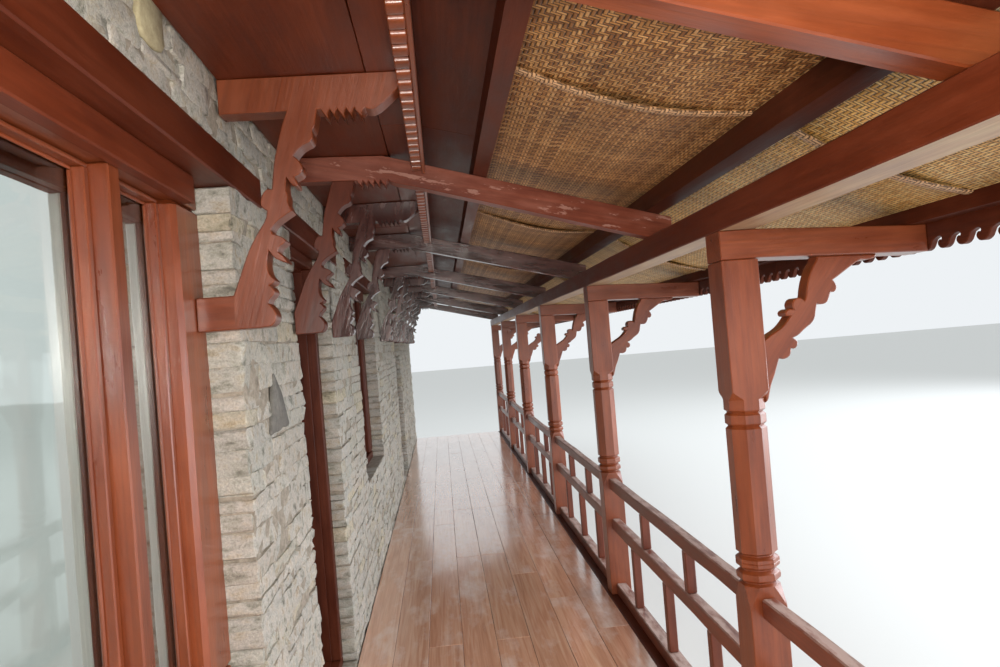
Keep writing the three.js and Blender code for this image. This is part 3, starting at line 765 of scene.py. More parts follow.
frontPlace = wallFace(0, 1, 1, galleryStart, galleryEnd)
backPlace = wallFace(wallBack, -1, -1, -galleryEnd, -galleryStart)


def backStretches(v):
    return [(-end, -start) for start, end in reversed(wallStretches(v))]


def isFine(u):
    return 0 < u < stonework["fineUntil"]


wallNodes = ["stone_footing_wall", *[f"stone_pier_{i}" for i in range(1, 6)], "stone_wall_head"]
front = newBatch()
layStones(front, frontPlace, wallBands, wallStretches, frontLook, stonework["front"], isFine)
finishPiece("front_stonework", front, ["stone"], wallNodes, stoneSharp)
back = newBatch()
layStones(back, backPlace, wallBands, backStretches, backLook, stonework["back"])
finishPiece("back_stonework", back, ["stone"], sharp=stoneSharp)

# Mortar core behind the stones, pressed almost flush in places, with patches of cement and mud
core = newBatch()
inset, step = stonework["coreInset"], stonework["coreStep"]
for low, high in zip(wallBands, wallBands[1:]):
    for start, end in wallStretches((low + high) / 2):
        grid = (round((end - start) / step), max(2, round((high - low) / step)))
        top = high - (inset if high == setOut["wallTop"] else 0)
        span = (start + inset, end - inset)
        depth = setOut["wallThickness"] - inset
        addFaced(core, frontPlace, span, (low, top), depth, mortarLook, grid)
cementOutline = [
    (2376, 1642), (2398, 1622), (2430, 1600), (2476, 1566), (2508, 1522), (2540, 1478),
    (2569, 1440), (2520, 1434), (2470, 1442), (2410, 1432), (2345, 1436), (2262, 1430),
    (2300, 1470), (2330, 1530), (2360, 1600),
]
mudOutline = [
    (1390, 2412), (1460, 2402), (1530, 2416), (1524, 2470), (1530, 2516), (1470, 2524),
    (1400, 2514), (1384, 2460),
]
for slot, outline in ((1, cementOutline), (2, mudOutline)):
    addCut(core, soften(outline), "yz", *stonework["patch"], (0, 1, 0), edge=0.004, slot=slot)
finishPiece("wall_mortar", core, ["mortar", "patch", "mud"], sharp=stoneSharp)

# Lintels: a pair of squared beams through the wall over each opening
lintels = {
    "shy": 0.012, "split": 0.003, "behindFace": 0.001, "endPlay": 0.004, "backShorter": 0.02,
    "topPlay": 0.002,
}
for opening in openings:
    beam, name = newBatch(), opening["name"]
    low, high = setOut["lintelBottom"], setOut["lintelTop"]
    depth, tall = (setOut["wallThickness"] - lintels["shy"]) / 2, high - low - lintels["topPlay"]
    for side in (0, 1):
        x = -depth / 2 - side * (depth + lintels["split"]) - lintels["behindFace"]
        reach = setOut["lintelBearing"] - lintels["endPlay"] - lintels["backShorter"] * side
        y0, y1 = opening["from"] - reach, opening["to"] + reach
        addRun(beam, x, (low + high) / 2, y0, y1, depth, tall, edge=0.005)
    # The lintels take the darker red-brown coat, a shaded copy of the orange-brown enamel as
    # painted shade
    finishPiece(name + "_beam", beam, ["mid"], [name + "_lintel"])

# Windows: a fixed frame, a casement in each light, the pane and a white lining behind
joinery = {
    "front": -0.105,
    "sashFront": -0.146,
    "glassFront": -0.18,
    "glassBack": -0.186,
    "stopBack": -0.211,
    "liningBack": -0.236,
    "liningHead": 0.134,
    "boardFront": -0.067,
    "boardHeight": 0.078,
    "boardShort": 0.128,
    "jamb": 0.188,
    "jambBevel": 0.014,
    "head": 0.072,
    "sill": 0.06,
    "sash": 0.022,
    "mullion": 0.029,
    "narrowLight": 0.556,
    "bead": 0.009,
    "leafGap": 0.0015,
    "thinHead": 0.012,  # how much less of the sash shows at its head
    "paneEdge": 0.004,
    "paneThick": 0.004,
    "stopWider": 0.01,
    "wideWindow": 1.6,  # from here on a window has a narrow light at each end
}


# Four bars round a light. Depth runs from back to front in x.
def addSurround(batch, y0, y1, z0, z1, widths, back, front, edge=0.003, slot=0, bevel=None, bite=0):
    left, right, bottom, top = widths
    x = (back + front) / 2
    depth = front - back
    for z, width in ((z0, bottom), (z1, -top)):
        addRun(batch, x, z + width / 2, y0, y1, depth, abs(width), edge=edge, slot=slot)
    for y, width, inward in ((y0, left, 1), (y1, -right, -1)):
        middle, wide = y + (width - bite * inward) / 2, abs(width) + bite
        ends, cut = (z0 + bottom, z1 - top), bevel or edge
        addUpright(batch, x, middle, *ends, wide, depth, edge=cut, slot=slot)


def addWindow(opening):
    frameBatch, lining, panes = newBatch(), newBatch(), newBatch()
    start, end, name = opening["from"], opening["to"], opening["name"]
    z0, z1 = setOut["windowSill"], setOut["lintelBottom"]
    whole = (start, end, z0, z1)
    middles = [end - joinery["narrowLight"]]
    if end - start > joinery["wideWindow"]:
        middles.insert(0, start + joinery["narrowLight"])
    jamb, head, sill, mullion = (joinery[key] for key in ("jamb", "head", "sill", "mullion"))
    front, sashFront, glassFront = (joinery[key] for key in ("front", "sashFront", "glassFront"))

    # outer frame with its head board and mullions
    bevel = joinery["jambBevel"]
    sides = (jamb, jamb, sill, head)
    addSurround(frameBatch, *whole, sides, glassFront, front, edge=0.004, bevel=bevel, bite=bevel)
    boardFront, height = joinery["boardFront"], joinery["boardHeight"]
    boardX, boardEnd = (front + boardFront) / 2, end - joinery["boardShort"]
    boardZ, thick = z1 - height / 2, boardFront - front
    # The head board under the lintel takes the darker red-brown coat as painted shade
    addRun(frameBatch, boardX, boardZ, start, boardEnd, thick, height, edge=0.004, slot=1)
    x, depth = (glassFront + front) / 2, front - glassFront
    for middle in middles:
        addUpright(frameBatch, x, middle, z0 + sill, z1 - head, mullion * 2, depth, edge=0.004)

    # a sash, its beads and the pane in each light
    lights = zip(
        [start + jamb, *[m + mullion for m in middles]],
        [*[m - mullion for m in middles], end - jamb],
    )
    gap, thin, sash, bead = (joinery[key] for key in ("leafGap", "thinHead", "sash", "bead"))
    pane = joinery["paneEdge"]
    bottom, top = z0 + sill, z1 - head
    for y0, y1 in lights:
        leaf = (y0 + gap, y1 - gap, bottom + gap, top - gap)
        addSurround(frameBatch, *leaf, (sash, sash, sash, sash - thin), glassFront, sashFront)
        inner = (y0 + sash, y1 - sash, bottom + sash, top - sash + thin)
        addSurround(frameBatch, *inner, (bead,) * 4, glassFront, glassFront + bead)
        x, z = (glassFront + joinery["glassBack"]) / 2, (bottom + top) / 2
        tall = top - bottom - 2 * pane
        addRun(panes, x, z, y0 + pane, y1 - pane, joinery["paneThick"], tall, edge=0.0005, sway=0)

    # stops behind the glass, then the white lining with a dark head as painted shade
    stopBack, stopFront = joinery["stopBack"], joinery["glassBack"]
    liningHead, wider = joinery["liningHead"], joinery["stopWider"]
    foot, crown = z0 + sill, z1 - liningHead
    stops = (jamb + wider, jamb + wider, sill, liningHead)
    addSurround(lining, *whole, stops, stopBack, stopFront, slot=1)
    for middle in middles:
        x, depth = (stopBack + stopFront) / 2, stopFront - stopBack
        addUpright(lining, x, middle, foot, crown, mullion * 2 + wider, depth, slot=1)
    x, depth = (joinery["liningBack"] + stopBack) / 2, stopBack - joinery["liningBack"]
    addRun(lining, x, z0 + sill / 2, start, end, depth, sill)
    # The lining's head is dark brown instead of white: painted shade under the lintel inside
    addRun(lining, x, z1 - liningHead / 2, start, end, depth, liningHead, slot=1)
    for middle in (start + jamb / 2 + wider / 2, end - jamb / 2 - wider / 2):
        addUpright(lining, x, middle, foot, crown, jamb + wider, depth)
    for middle in middles:
        addUpright(lining, x, middle, foot, crown, mullion * 2 + wider, depth)
    # The second window's joinery is the same as the first's, given the dark coat as painted shade
    coat = "bright" if name == "window_1" else "dark"
    finishPiece(name + "_joinery", frameBatch, [coat, "mid"], [name + "_frame"])
    finishPiece(name + "_panes", panes, ["glass"], [name + "_glass"])
    finishPiece(name + "_lining", lining, ["white", "dark"], [name + "_inner_frame"])


# Doorways: a heavy frame with a threshold
doorFrame = {
    "front": -0.08,
    "back": -0.205,
    "jamb": 0.062,
    "head": 0.06,
    "threshold": 0.04,
    "rebate": 0.012,
    "rebateFoot": 0.008,
    "rebateDepth": 0.05,
}


def addDoorway(opening):
    batch = newBatch()
    jamb, head, threshold = (doorFrame[key] for key in ("jamb", "head", "threshold"))
    back, front = doorFrame["back"], doorFrame["front"]
    start, end, top, name = opening["from"], opening["to"], setOut["lintelBottom"], opening["name"]
    addSurround(batch, start, end, 0, top, (jamb, jamb, threshold, head), back, front, edge=0.005)
    stops = (start + jamb, end - jamb, threshold, top - head)
    rebate = doorFrame["rebate"]
    widths = (rebate, rebate, doorFrame["rebateFoot"], rebate)
    addSurround(batch, *stops, widths, back, front - doorFrame["rebateDepth"], edge=0.002)
    finishPiece(name + "_joinery", batch, ["dark"], [name + "_frame"])


for opening in [o for o in openings if o["window"]]:
    addWindow(opening)
for opening in [o for o in openings if not o["window"]]:
    addDoorway(opening)
print("openings trimmed")

# Wall brackets: flat boards sawn to a row of leaves, with a toothed upper arm. Each outline is in
# mm, x then z, and a third value keeps a corner sharp.
strutFront = [
    (0.3, 1780, 1), (98, 1780), (112, 1789), (120, 1804), (119, 1822), (108, 1840), (99, 1849, 1),
    (104, 1862), (116, 1872), (121, 1884), (113, 1896), (107, 1901, 1), (118, 1906), (124, 1916),
    (114, 1926), (109, 1934, 1), (104, 1956), (106, 1980), (112, 2003, 1), (118, 1992), (126, 1980),
    (144, 1970), (164, 1962, 1), (156, 1980), (138, 1997, 1), (142, 2012), (158, 2020), (164, 2028),
    (152, 2040), (126, 2050, 1), (122, 2064), (138, 2083), (160, 2098), (187, 2114, 1), (181, 2128),
    (177, 2142, 1), (180, 2160), (174, 2178), (178, 2213, 1), (190, 2192), (206, 2182), (211, 2190),
    (201, 2212, 1), (222, 2222), (229, 2238), (216, 2262), (204, 2273, 1), (218, 2292), (234, 2305),
    (258, 2314), (264, 2330), (262, 2346, 1), (270, 2356), (276, 2380), (281, 2406, 1),
]
strutBack = [
    (194, 2406, 1), (178, 2370), (162, 2316), (148, 2264), (140, 2216), (135, 2180, 1), (120, 2182),
    (108, 2170), (99, 2150), (100, 2130), (116, 2118, 1), (112, 2094), (84, 2054), (62, 2018),
    (44, 1979), (22, 1922), (0.3, 1872, 1),
]
teeth = []
for root, tip in ((292, 313), (318, 334), (340, 361), (366, 384), (390, 412)):
    teeth += [(root, 2406, 1), (root + 8, 2392), (tip, 2376, 1), (tip - 2, 2392)]
armTip = [
    (422, 2404, 1), (438, 2398), (458, 2404), (482, 2422), (506, 2442), (524.7, 2458, 1),
    (524.7, 2507.7, 1),
]
armHeel = [(0.3, 2507.7, 1), (0.3, 2406, 1)]
tieTail = [
    (422, 2406, 1), (432, 2396), (460, 2386), (538, 2370, 1), (1557, 2103.4, 1), (1680, 2103.4, 1),
    (1680, 2189, 1), (580, 2464, 1), (404, 2507.7, 1),
]
bracketHalf = setOut["bracketWidth"] / 2
# Tails run back beside an opening from the brackets at these places on the module
tails = {"back": {1: -0.104, 9: -0.079}, "middle": 1.829, "height": 0.098, "lap": 0.006}


def addTail(batch, step, y):
    if step in tails["back"]:
        low, high = (tails["back"][step], y, tails["middle"]), (tails["lap"], y, tails["middle"])
        addBar(batch, low, high, setOut["bracketWidth"], tails["height"])


shortPlaces = [(None, 0.16)] + [(step, module(step) - bracketHalf) for step in (1, 3, 7, 9, 11)]
shortPlaces[2] = (3, 3.9)
longPlaces = [(step, module(step) - bracketHalf) for step in (2, 4, 6, 8, 10, 12)]
longPlaces[0] = (2, 2.865)
askew = {2: 0.12}  # the second tie slants along the gallery by this much for each metre out
strutWay, tieWay = (0.3, 0, 1), (1, 0, -0.2)
for index, (step, y) in enumerate(shortPlaces, 1):
    batch = newBatch()
    outline = soften(strutFront + teeth + armTip + armHeel + strutBack)
    addCut(batch, outline, "xz", y - bracketHalf, y + bracketHalf, strutWay)
    addTail(batch, step, y)
    # Brackets past the second take the far coat: a darker copy of the enamel as painted shade
    coat = "bright" if index < 3 else "far"
    finishPiece(
        f"carved_short_bracket_{index}", batch, [coat], [f"short_bracket_{index}"]
    )
for index, (step, y) in enumerate(longPlaces, 1):
    batch = newBatch()
    strut = soften([*strutFront[:-1], (281, 2405.5, 1), (194, 2405.5, 1), *strutBack[1:]])
    addCut(batch, strut, "xz", y - bracketHalf, y + bracketHalf, strutWay)
    arm = soften([(281, 2406, 1), *teeth, *tieTail, *armHeel])
    addCut(batch, arm, "xz", y - bracketHalf, y + bracketHalf, tieWay, slot=1)
    addTail(batch, step, y)
    for points in batch["points"]:
        points[:, 1] += askew.get(step, 0) * points[:, 0]
    # The long brackets past the first take the far coat, a darker copy of the enamel as painted
    # shade
    used = ["mid", "old"] if step == 2 else ["far", "far"]
    finishPiece(
        f"carved_long_bracket_{index}", batch, used, [f"long_bracket_{index}"]
    )
batch = newBatch()
tie = [(0.3, 2412), (300, 2406), (538, 2370), *[point[:2] for point in tieTail[4:]], (0.3, 2507.7)]
first = setOut["firstTie"]
addCut(batch, tie, "xz", first, first + setOut["bracketWidth"], tieWay, edge=0.004)
finishPiece("near_roof_tie", batch, ["bright"], ["roof_tie_1"])
print("brackets carved")

# Floor: a stone plinth, joists with a rim round them, and wide planks laid along the gallery
floorFrame = {
    "plinthEdge": 1.72,
    "plinthReach": (0.004, 0.205),  # from the wall face, and short of the plinth's outer corner
    "joistWidth": 0.07,
    "joistDepth": 0.12,
    "joistPitch": 0.5625,
    "joistCount": 25,
    "endJoist": 0.036,
    "rim": 0.08,
    "boardThickness": 0.032,
    "inner": 1.54,
    "beamOuter": 1.704,
    "beamPlay": 0.001,
    "planks": 8,
    "plankGap": 0.0018,
    "plankEnd": 0.0012,
    "plankLength": (1.6, 4.2),
    "lastPlank": 4.6,
}
underBoards = -floorFrame["boardThickness"]
underJoists = underBoards - floorFrame["joistDepth"]
plinth = newBatch()
plinthEdge = floorFrame["plinthEdge"]
fromWall, fromCorner = floorFrame["plinthReach"]
plinthSides = [
    ((plinthEdge, 0, 0), (0, 1, 0), (1, 0, 0), galleryStart, galleryEnd),
    ((0, galleryStart, 0), (1, 0, 0), (0, -1, 0), fromWall, plinthEdge - fromCorner),
    ((0, galleryEnd, 0), (-1, 0, 0), (0, 1, 0), fromCorner - plinthEdge, -fromWall),
]
bands = [groundLevel, underJoists]
for origin, along, out, u0, u1 in plinthSides:
    place = {"origin": origin, "u": along, "out": out, "limits": ((u0, u1), bands)}
    whole = [(u0, u1)]
    layStones(plinth, place, bands, lambda v: whole, plinthLook, stonework["plinth"])
fill = {"u": (0, 1, 0), "out": (1, 0, 0), "origin": (plinthEdge - 0.002, 0, 0)}
span, rise = (galleryStart + inset, galleryEnd - inset), (groundLevel, underJoists - 0.004)
addFaced(plinth, fill, span, rise, plinthEdge - 0.008, mortarLook, (180, 5), slot=1)
finishPiece("plinth_stonework", plinth, ["stone", "mortar"], ["stone_plinth"], stoneSharp)

joists = newBatch()
inner, rim, width, play = (floorFrame[key] for key in ("inner", "rim", "joistWidth", "beamPlay"))
depth = floorFrame["joistDepth"] - play
middle = (underBoards + underJoists) / 2
for x in (rim / 2 + play, inner - rim / 2 - play):
    addRun(joists, x, middle, galleryStart, galleryEnd, rim - 0.004, depth)
joistPlaces = np.arange(floorFrame["joistCount"]) * floorFrame["joistPitch"]
endJoist = floorFrame["endJoist"]
for y in [galleryStart + endJoist, *joistPlaces, galleryEnd - endJoist]:
    addBar(joists, (rim, y, middle), (inner - rim, y, middle), width, depth)
finishPiece("joist_frame", joists, ["dark"], ["floor_joists"])

planks = newBatch()
pitch = (inner - 0.002) / floorFrame["planks"]
wide, thick = pitch - floorFrame["plankGap"], floorFrame["boardThickness"] - 0.002
least, most = floorFrame["plankLength"]
gap = floorFrame["plankEnd"]
for row in range(floorFrame["planks"]):
    joints = [galleryStart]
    while galleryEnd - joints[-1] > floorFrame["lastPlank"]:
        choices = joistPlaces[
            (joistPlaces > joints[-1] + least) & (joistPlaces < joints[-1] + most)
        ]
        joints.append(float(random.choice(choices)))
    joints.append(galleryEnd)
    for y0, y1 in zip(joints, joints[1:]):
        sink = random.uniform(0.0002, 0.0016)
        x, z = 0.001 + (row + 0.5) * pitch, underBoards / 2 - sink
        addRun(planks, x, z, y0 + gap, y1 - gap, wide, thick, edge=0.0022, sway=0.0004)
finishPiece("floor_planks", planks, ["plank"], ["floor_boards"])
beam = newBatch()
x, width = (inner + floorFrame["beamOuter"]) / 2, 0.163
addRun(beam, x, underJoists / 2, galleryStart, galleryEnd, width, -underJoists - play, edge=0.004)
finishPiece("edge_beam", beam, ["dark"], ["floor_edge_beam"])
print("floor laid")

# Posts: square blocks with pointed stops, an eight-sided shaft between turned-looking collars, an
# arm to the eave and a carved brace. Rows are height, half width and corner cut in mm.
carving = {"octagonCut": 0.5858, "wander": 0.0004, "braceHalf": 0.033}
postRows = [
    (0, 62, 3), (3, 65, 3), (240, 65, 3), (480, 65.3, 3), (700, 65, 3), (714, 65, 3.4),
    (730, 65, 11), (746, 64.8, 20), (762, 64.4, 29), (777, 64, 37.5), (780, 64, 37.5), (787, 54, 0),
    (789, 54, 0), (796, 64, 0), (800, 67, 0), (810, 68, 0), (820, 67, 0), (824, 64, 0),
    (831, 54, 0), (834, 54, 0), (840, 64, 0), (844, 67, 0), (855, 67.5, 0), (857, 66.3, 0),
    (859, 67.5, 0), (870, 67, 0), (874, 64, 0), (880, 54, 0), (883, 54, 0), (891, 64, 0),
    (1100, 63.8, 0), (1317, 64, 0), (1321, 60, 0), (1326, 55, 0), (1331, 60, 0), (1335, 64, 0),
    (1364, 64, 0), (1368, 60, 0), (1373, 55, 0), (1378, 60, 0), (1382, 64, 0), (1417, 64, 0),
    (1424, 64.4, 30), (1432, 64.8, 20), (1440, 65, 10), (1447, 65, 3), (1650, 65, 3), (1894, 65, 3),
    (1897, 62, 3),
]
armOutline = [
    (1557, 1898.3), (1707, 1898.3), (2300, 1878), (2300, 1972.6), (2230, 1972.6), (1687, 1997.6),
    (1557, 1997.6),
]
braceOutline = [
    (1687, 1400, 1), (1697, 1408), (1703, 1430), (1712, 1462), (1726, 1490), (1738, 1522),
    (1748, 1548, 1), (1764, 1543), (1784, 1550), (1792, 1564), (1794, 1579, 1), (1806, 1576),
    (1818, 1586), (1820, 1604), (1804, 1615, 1), (1824, 1622), (1850, 1644), (1876, 1660),
    (1890, 1680), (1894, 1702), (1900, 1727, 1), (1918, 1722), (1936, 1727), (1946, 1744),
    (1954, 1764, 1), (1966, 1762), (1976, 1772), (1977, 1788), (1965, 1805, 1), (1984, 1816),
    (2018, 1838), (2048, 1856), (2072, 1869, 1), (2100, 1866), (2124, 1871), (2130, 1880),
    (2128, 1883.6, 1), (1915, 1890.6, 1), (1912, 1878), (1892, 1852), (1876, 1816), (1866, 1780),
    (1862, 1754), (1855, 1741, 1), (1846, 1750), (1832, 1753), (1818, 1747), (1810, 1732),
    (1813, 1714, 1), (1798, 1717), (1782, 1707), (1785, 1692), (1798, 1690, 1), (1780, 1668),
    (1760, 1650), (1722, 1630), (1687, 1606, 1),
]


def addPost(batch, y):
    sections = []
    for z, half, cut in postRows:
        wander = random.normal(0, carving["wander"], 2)
        h = half / 1000
        c = (cut or half * carving["octagonCut"]) / 1000
        ring = np.array([(h - c, -h), (h, c - h), (h, h - c), (h - c, h)])
        ring = np.concatenate([ring, -ring]) + (postCentre, y) + wander
        sections.append(np.column_stack([ring, np.full(len(ring), z / 1000)]))
    sections = np.array(sections)
    addLoft(batch, sections, grainAlong(sections, (0, 0, 1)))
    half, braceHalf = setOut["postWidth"] / 2, carving["braceHalf"]
    addCut(batch, armOutline, "xz", y - half, y + half, (1, 0, 0), edge=0.003)
    addCut(batch, soften(braceOutline), "xz", y - braceHalf, y + braceHalf, (0.8, 0, 1), edge=0.004)


for index in range(setOut["bays"] + 1):
    post = newBatch()
    addPost(post, index * setOut["bayLength"])
    finishPiece(
        f"carved_post_{index + 1}", post, ["bright"], [f"post_{index + 1}"],
        sharp=30,
    )

# Railing: a curb, a mid rail and a hand rail between the posts, with short and long uprights.
# Each rail is its width, bottom and top.
railing = {
    "rails": [(0.05, 0.676, 0.744), (0.05, 0.415, 0.486), (0.064, 0.0005, 0.07)],
    "bar": 0.045,
    "stubs": (1 / 3, 2 / 3),
    "balusters": (0.21, 0.5, 0.79),
    "wander": 0.004,
    "endPlay": 0.0005,
}
(_, handRailLow, _), (_, midRailLow, midRailTop), (_, _, curbTop) = railing["rails"]
uprights = [
    (railing["stubs"], midRailTop, handRailLow), (railing["balusters"], curbTop, midRailLow)
]
for bay in range(setOut["bays"]):
    batch = newBatch()
    y0 = bay * setOut["bayLength"] + setOut["postWidth"] / 2 + railing["endPlay"]
    y1 = (bay + 1) * setOut["bayLength"] - setOut["postWidth"] / 2 - railing["endPlay"]
    for width, low, high in railing["rails"]:
        addRun(
            batch, postCentre, (low + high) / 2, y0, y1, width, high - low, edge=0.005, sway=0.0012
        )
    for shares, low, high in uprights:
        for share in shares:
            y = y0 + (y1 - y0) * share + random.normal(0, railing["wander"])
            addUpright(batch, postCentre, y, low, high, railing["bar"], railing["bar"], edge=0.004)
    finishPiece(
        f"railing_timbers_{bay + 1}", batch, ["rail"], [f"railing_bay_{bay + 1}"]
    )
print("posts and railing up")

# Long roof timbers, then the soffit from wall to toothed board and the lining board on the slope
roofFrame = {
    "clear": 0.0005,
    "overPurlin": 0.0085,  # how far the lining and the mats reach above the purlins
    "plateShort": 0.001,
    "purlins": {"inner_purlin": (0.785, 0.842, "mid"), "outer_purlin": (1.56, 1.622, "dark")},
    "ledger": (0.0005, 0.07),
    "soffitRows": [(0.0005, 0.43), (0.4325, 0.5247)],
    "soffitThick": 0.02,
    "soffitLength": (2.3, 2.9),
    "lastSoffit": 3.4,
    "lining": (0.5815, 0.8145),
    "liningJoints": [2.62, 4.98, 7.31, 9.7, 11.9],
    "liningGap": 0.001,
}
clear, overPurlin = roofFrame["clear"], roofFrame["overPurlin"]


def addSlopedBar(batch, x0, x1, lowAt, highAt, edge=0.003, y0=galleryStart, y1=galleryEnd):
    outline = [(x0, lowAt(x0)), (x1, lowAt(x1)), (x1, highAt(x1)), (x0, highAt(x0))]
    addCut(batch, inMm(outline), "xz", y0, y1, (0, 1, 0), edge=edge)


def overTimber(x):
    return purlinTop(x) + overPurlin


plate = newBatch()
low, high = setOut["plate"]
deep = high - low - roofFrame["plateShort"]
addRun(
    plate, postCentre, (low + high) / 2, galleryStart, galleryEnd, setOut["postWidth"], deep,
    edge=0.004,
)
plateBar = finishPiece(
    "wall_plate", plate, ["mid", "paleUnderAndReflection"], ["outer_wall_plate"]
)
# Downward faces take the paler coat: paler wood with a painted reflection of the light from below
for face in plateBar.data.polygons:
    face.material_index = 1 if face.normal.z < -0.9 else 0
for node, (x0, x1, coat) in roofFrame["purlins"].items():
    batch = newBatch()
    addSlopedBar(batch, x0, x1, lambda x: tieTop(x) + clear, purlinTop)
    finishPiece(node.replace("purlin", "roof_bearer"), batch, [coat], [node])
ledger = newBatch()
soffitTop = setOut["soffit"] + roofFrame["soffitThick"]
addSlopedBar(ledger, *roofFrame["ledger"], lambda x: soffitTop, overTimber)
finishPiece("wall_ledger", ledger, ["dark"], ["roof_ledger"])
eaveBearer = newBatch()
bearerInner, bearerBottom = setOut["eaveBearer"]
addSlopedBar(eaveBearer, bearerInner, setOut["armEnd"], lambda x: bearerBottom + 0.0004, overTimber)
finishPiece("eave_bearer", eaveBearer, ["dark"], ["eave_purlin"])

soffit = newBatch()
for x0, x1 in roofFrame["soffitRows"]:
    joints = [galleryStart]
    while galleryEnd - joints[-1] > roofFrame["lastSoffit"]:
        joints.append(joints[-1] + random.uniform(*roofFrame["soffitLength"]))
    joints.append(galleryEnd)
    for y0, y1 in zip(joints, joints[1:]):
        z = setOut["soffit"] + 0.01 + random.uniform(0, 0.0012)
        addRun(
            soffit, (x0 + x1) / 2, z, y0 + 0.001, y1 - 0.001, x1 - x0, 0.018, edge=0.002,
            sway=0.0012,
        )
finishPiece("soffit_planks", soffit, ["mid"], ["soffit_boards"])
lining = newBatch()
gap = roofFrame["liningGap"]
joints = [galleryStart, *roofFrame["liningJoints"], galleryEnd]
for y0, y1 in zip(joints, joints[1:]):
    y0, y1 = y0 + gap, y1 - gap
    addSlopedBar(
        lining, *roofFrame["lining"], lambda x: purlinTop(x) + clear, overTimber, 0.001, y0, y1
    )
finishPiece("sloped_lining", lining, ["dark"], ["lining_board"])

# Toothed board: blocks of even size hung from a strip, in front of a plain backing board
dentils = {
    "pitch": 0.0798,
    "tooth": 0.055,
    "firstTooth": 1.419,
    "bottom": 2.42,
    "root": 2.472,
    "face": 0.5665,
    "joint": 0.0003,
    "stripTop": 2.5435,
    "notchPlay": 0.0004,
}
fasciaIn, fasciaOut = setOut["fascia"]
notchTop = tieTop(fasciaIn) + 0.004
notches = []
for step, y in [(0, first + bracketHalf), *longPlaces]:
    slant = askew.get(step, 0)
    middle = y + slant * (fasciaIn + fasciaOut) / 2
    half = bracketHalf + dentils["notchPlay"] + slant * (fasciaOut - fasciaIn) / 2
    notches.append((middle - half, middle + half))
toothed = newBatch()


def addBoard(y0, y1, low, high, x0, x1, edge=0.0025):
    outline = [(y0, low), (y1, low), (y1, high), (y0, high)]
    addCut(toothed, inMm(outline), "yz", x0, x1, (0, 1, 0), edge=edge)


starts = [galleryStart, *[end for _, end in notches]]
ends = [*[start for start, _ in notches], galleryEnd]
backFace, toothFace = fasciaOut - clear, dentils["face"] - dentils["joint"]
for y0, y1 in zip(starts, ends):
    addBoard(y0, y1, dentils["bottom"] + 0.002, notchTop, dentils["face"], backFace)
    addBoard(y0, y1, dentils["root"], notchTop, fasciaIn, toothFace, edge=0.002)
addBoard(
    galleryStart, galleryEnd, notchTop + dentils["notchPlay"], dentils["stripTop"], fasciaIn,
    backFace,
)
phase = (dentils["firstTooth"] - galleryStart) % dentils["pitch"]
y = galleryStart + phase - dentils["pitch"]
while y < galleryEnd:
    y0, y1 = y + random.normal(0, 0.0015), y + dentils["tooth"] + random.normal(0, 0.002)
    y += dentils["pitch"]
    if y0 < galleryStart or y1 > galleryEnd or any(
        y0 < end and y1 > start for start, end in notches
    ):
        continue
    low, top = 1000 * dentils["bottom"] + random.uniform(0, 3), 1000 * dentils["root"] - 0.3
    a, b = 1000 * y0, 1000 * y1
    outline = [(a, top, 1), (a, low + 9), (a + 3, low + 2), (a + 10, low)]
    outline += [(b - 10, low), (b - 3, low + 2), (b, low + 9), (b, top, 1)]
    addCut(toothed, soften(outline), "yz", fasciaIn + clear, toothFace, (0, 0, 1), edge=0.003)
finishPiece("toothed_board", toothed, ["bright"], ["dentil_fascia"])

# Ceiling mats: split bamboo in a two-over-two-under twill. They lie over the purlins, sag between
# them and droop to the inner face of the eave bearer.
matting = {
    "thick": 0.0035,
    "x0": 0.8155,
    "x1": 2.2292,
    "sag": 0.03,
    "cell": 0.022,
    "selvedge": (0.042, 0.009),
    "selvedgeSteps": 66,
    "spans": [(0.847, 1.555), (1.627, 2.2297)],
    "seams": [1.895, 4.14, 6.42, 8.66, 10.93],
    "lap": 0.03,
    "underLap": 0.02,
    "hang": 0.016,
    "hangLength": 0.35,
    "daylitFrom": 1.6,  # from here outwards the mats take the lighter straw, as painted daylight
}
matSpans = matting["spans"]
lastSupport = matSpans[1][0]
matSeams = [galleryStart, *matting["seams"], galleryEnd]


def matProfile(x):
    start, end = matSpans[1]
    chord = purlinTop(start) + (x - start) / (end - start) * (setOut["matEnd"] - purlinTop(start))
    return np.where(x < start, purlinTop(x), chord)


def betweenSupports(x):
    return sum(np.sin(np.pi * np.clip((x - low) / (high - low), 0, 1)) for low, high in matSpans)


def matTop(x, y, y0, hang):
    swell = 0.86 + 0.12 * np.sin(2.1 * y + 3 * x + 0.6) + 0.08 * np.sin(5.7 * y - 2 * x)
    swell = swell + 0.05 * np.sin(11 * y + 9 * x)
    nearEnd = np.clip(1 - (y - y0) / matting["hangLength"], 0, 1)
    return matProfile(x) + overPurlin - betweenSupports(x) * (
        matting["sag"] * swell + hang * nearEnd**1.6
    )


def addMat(batch, y0, y1, hang):
    x0, x1, cell = matting["x0"], matting["x1"], matting["cell"]
    nx, ny = round((x1 - x0) / cell), round((y1 - y0) / cell)
    x, y = np.meshgrid(np.linspace(x0, x1, nx + 1), np.linspace(y0, y1, ny + 1), indexing="ij")
    top = matTop(x, y, y0, hang)
    low = top - matting["thick"]
    upper, loop = gridFaces(nx + 1, ny + 1)
    count = x.size
    skirt = np.stack([loop, loop + count, np.roll(loop, -1) + count, np.roll(loop, -1)], 1)
    points = np.concatenate([np.stack([x, y, z], -1).reshape(-1, 3) for z in (top, low)])
    faces = [*upper.tolist(), *(upper[:, ::-1] + count).tolist(), *skirt.tolist()]
    addShape(batch, points, faces, points * (1, 1, 0))


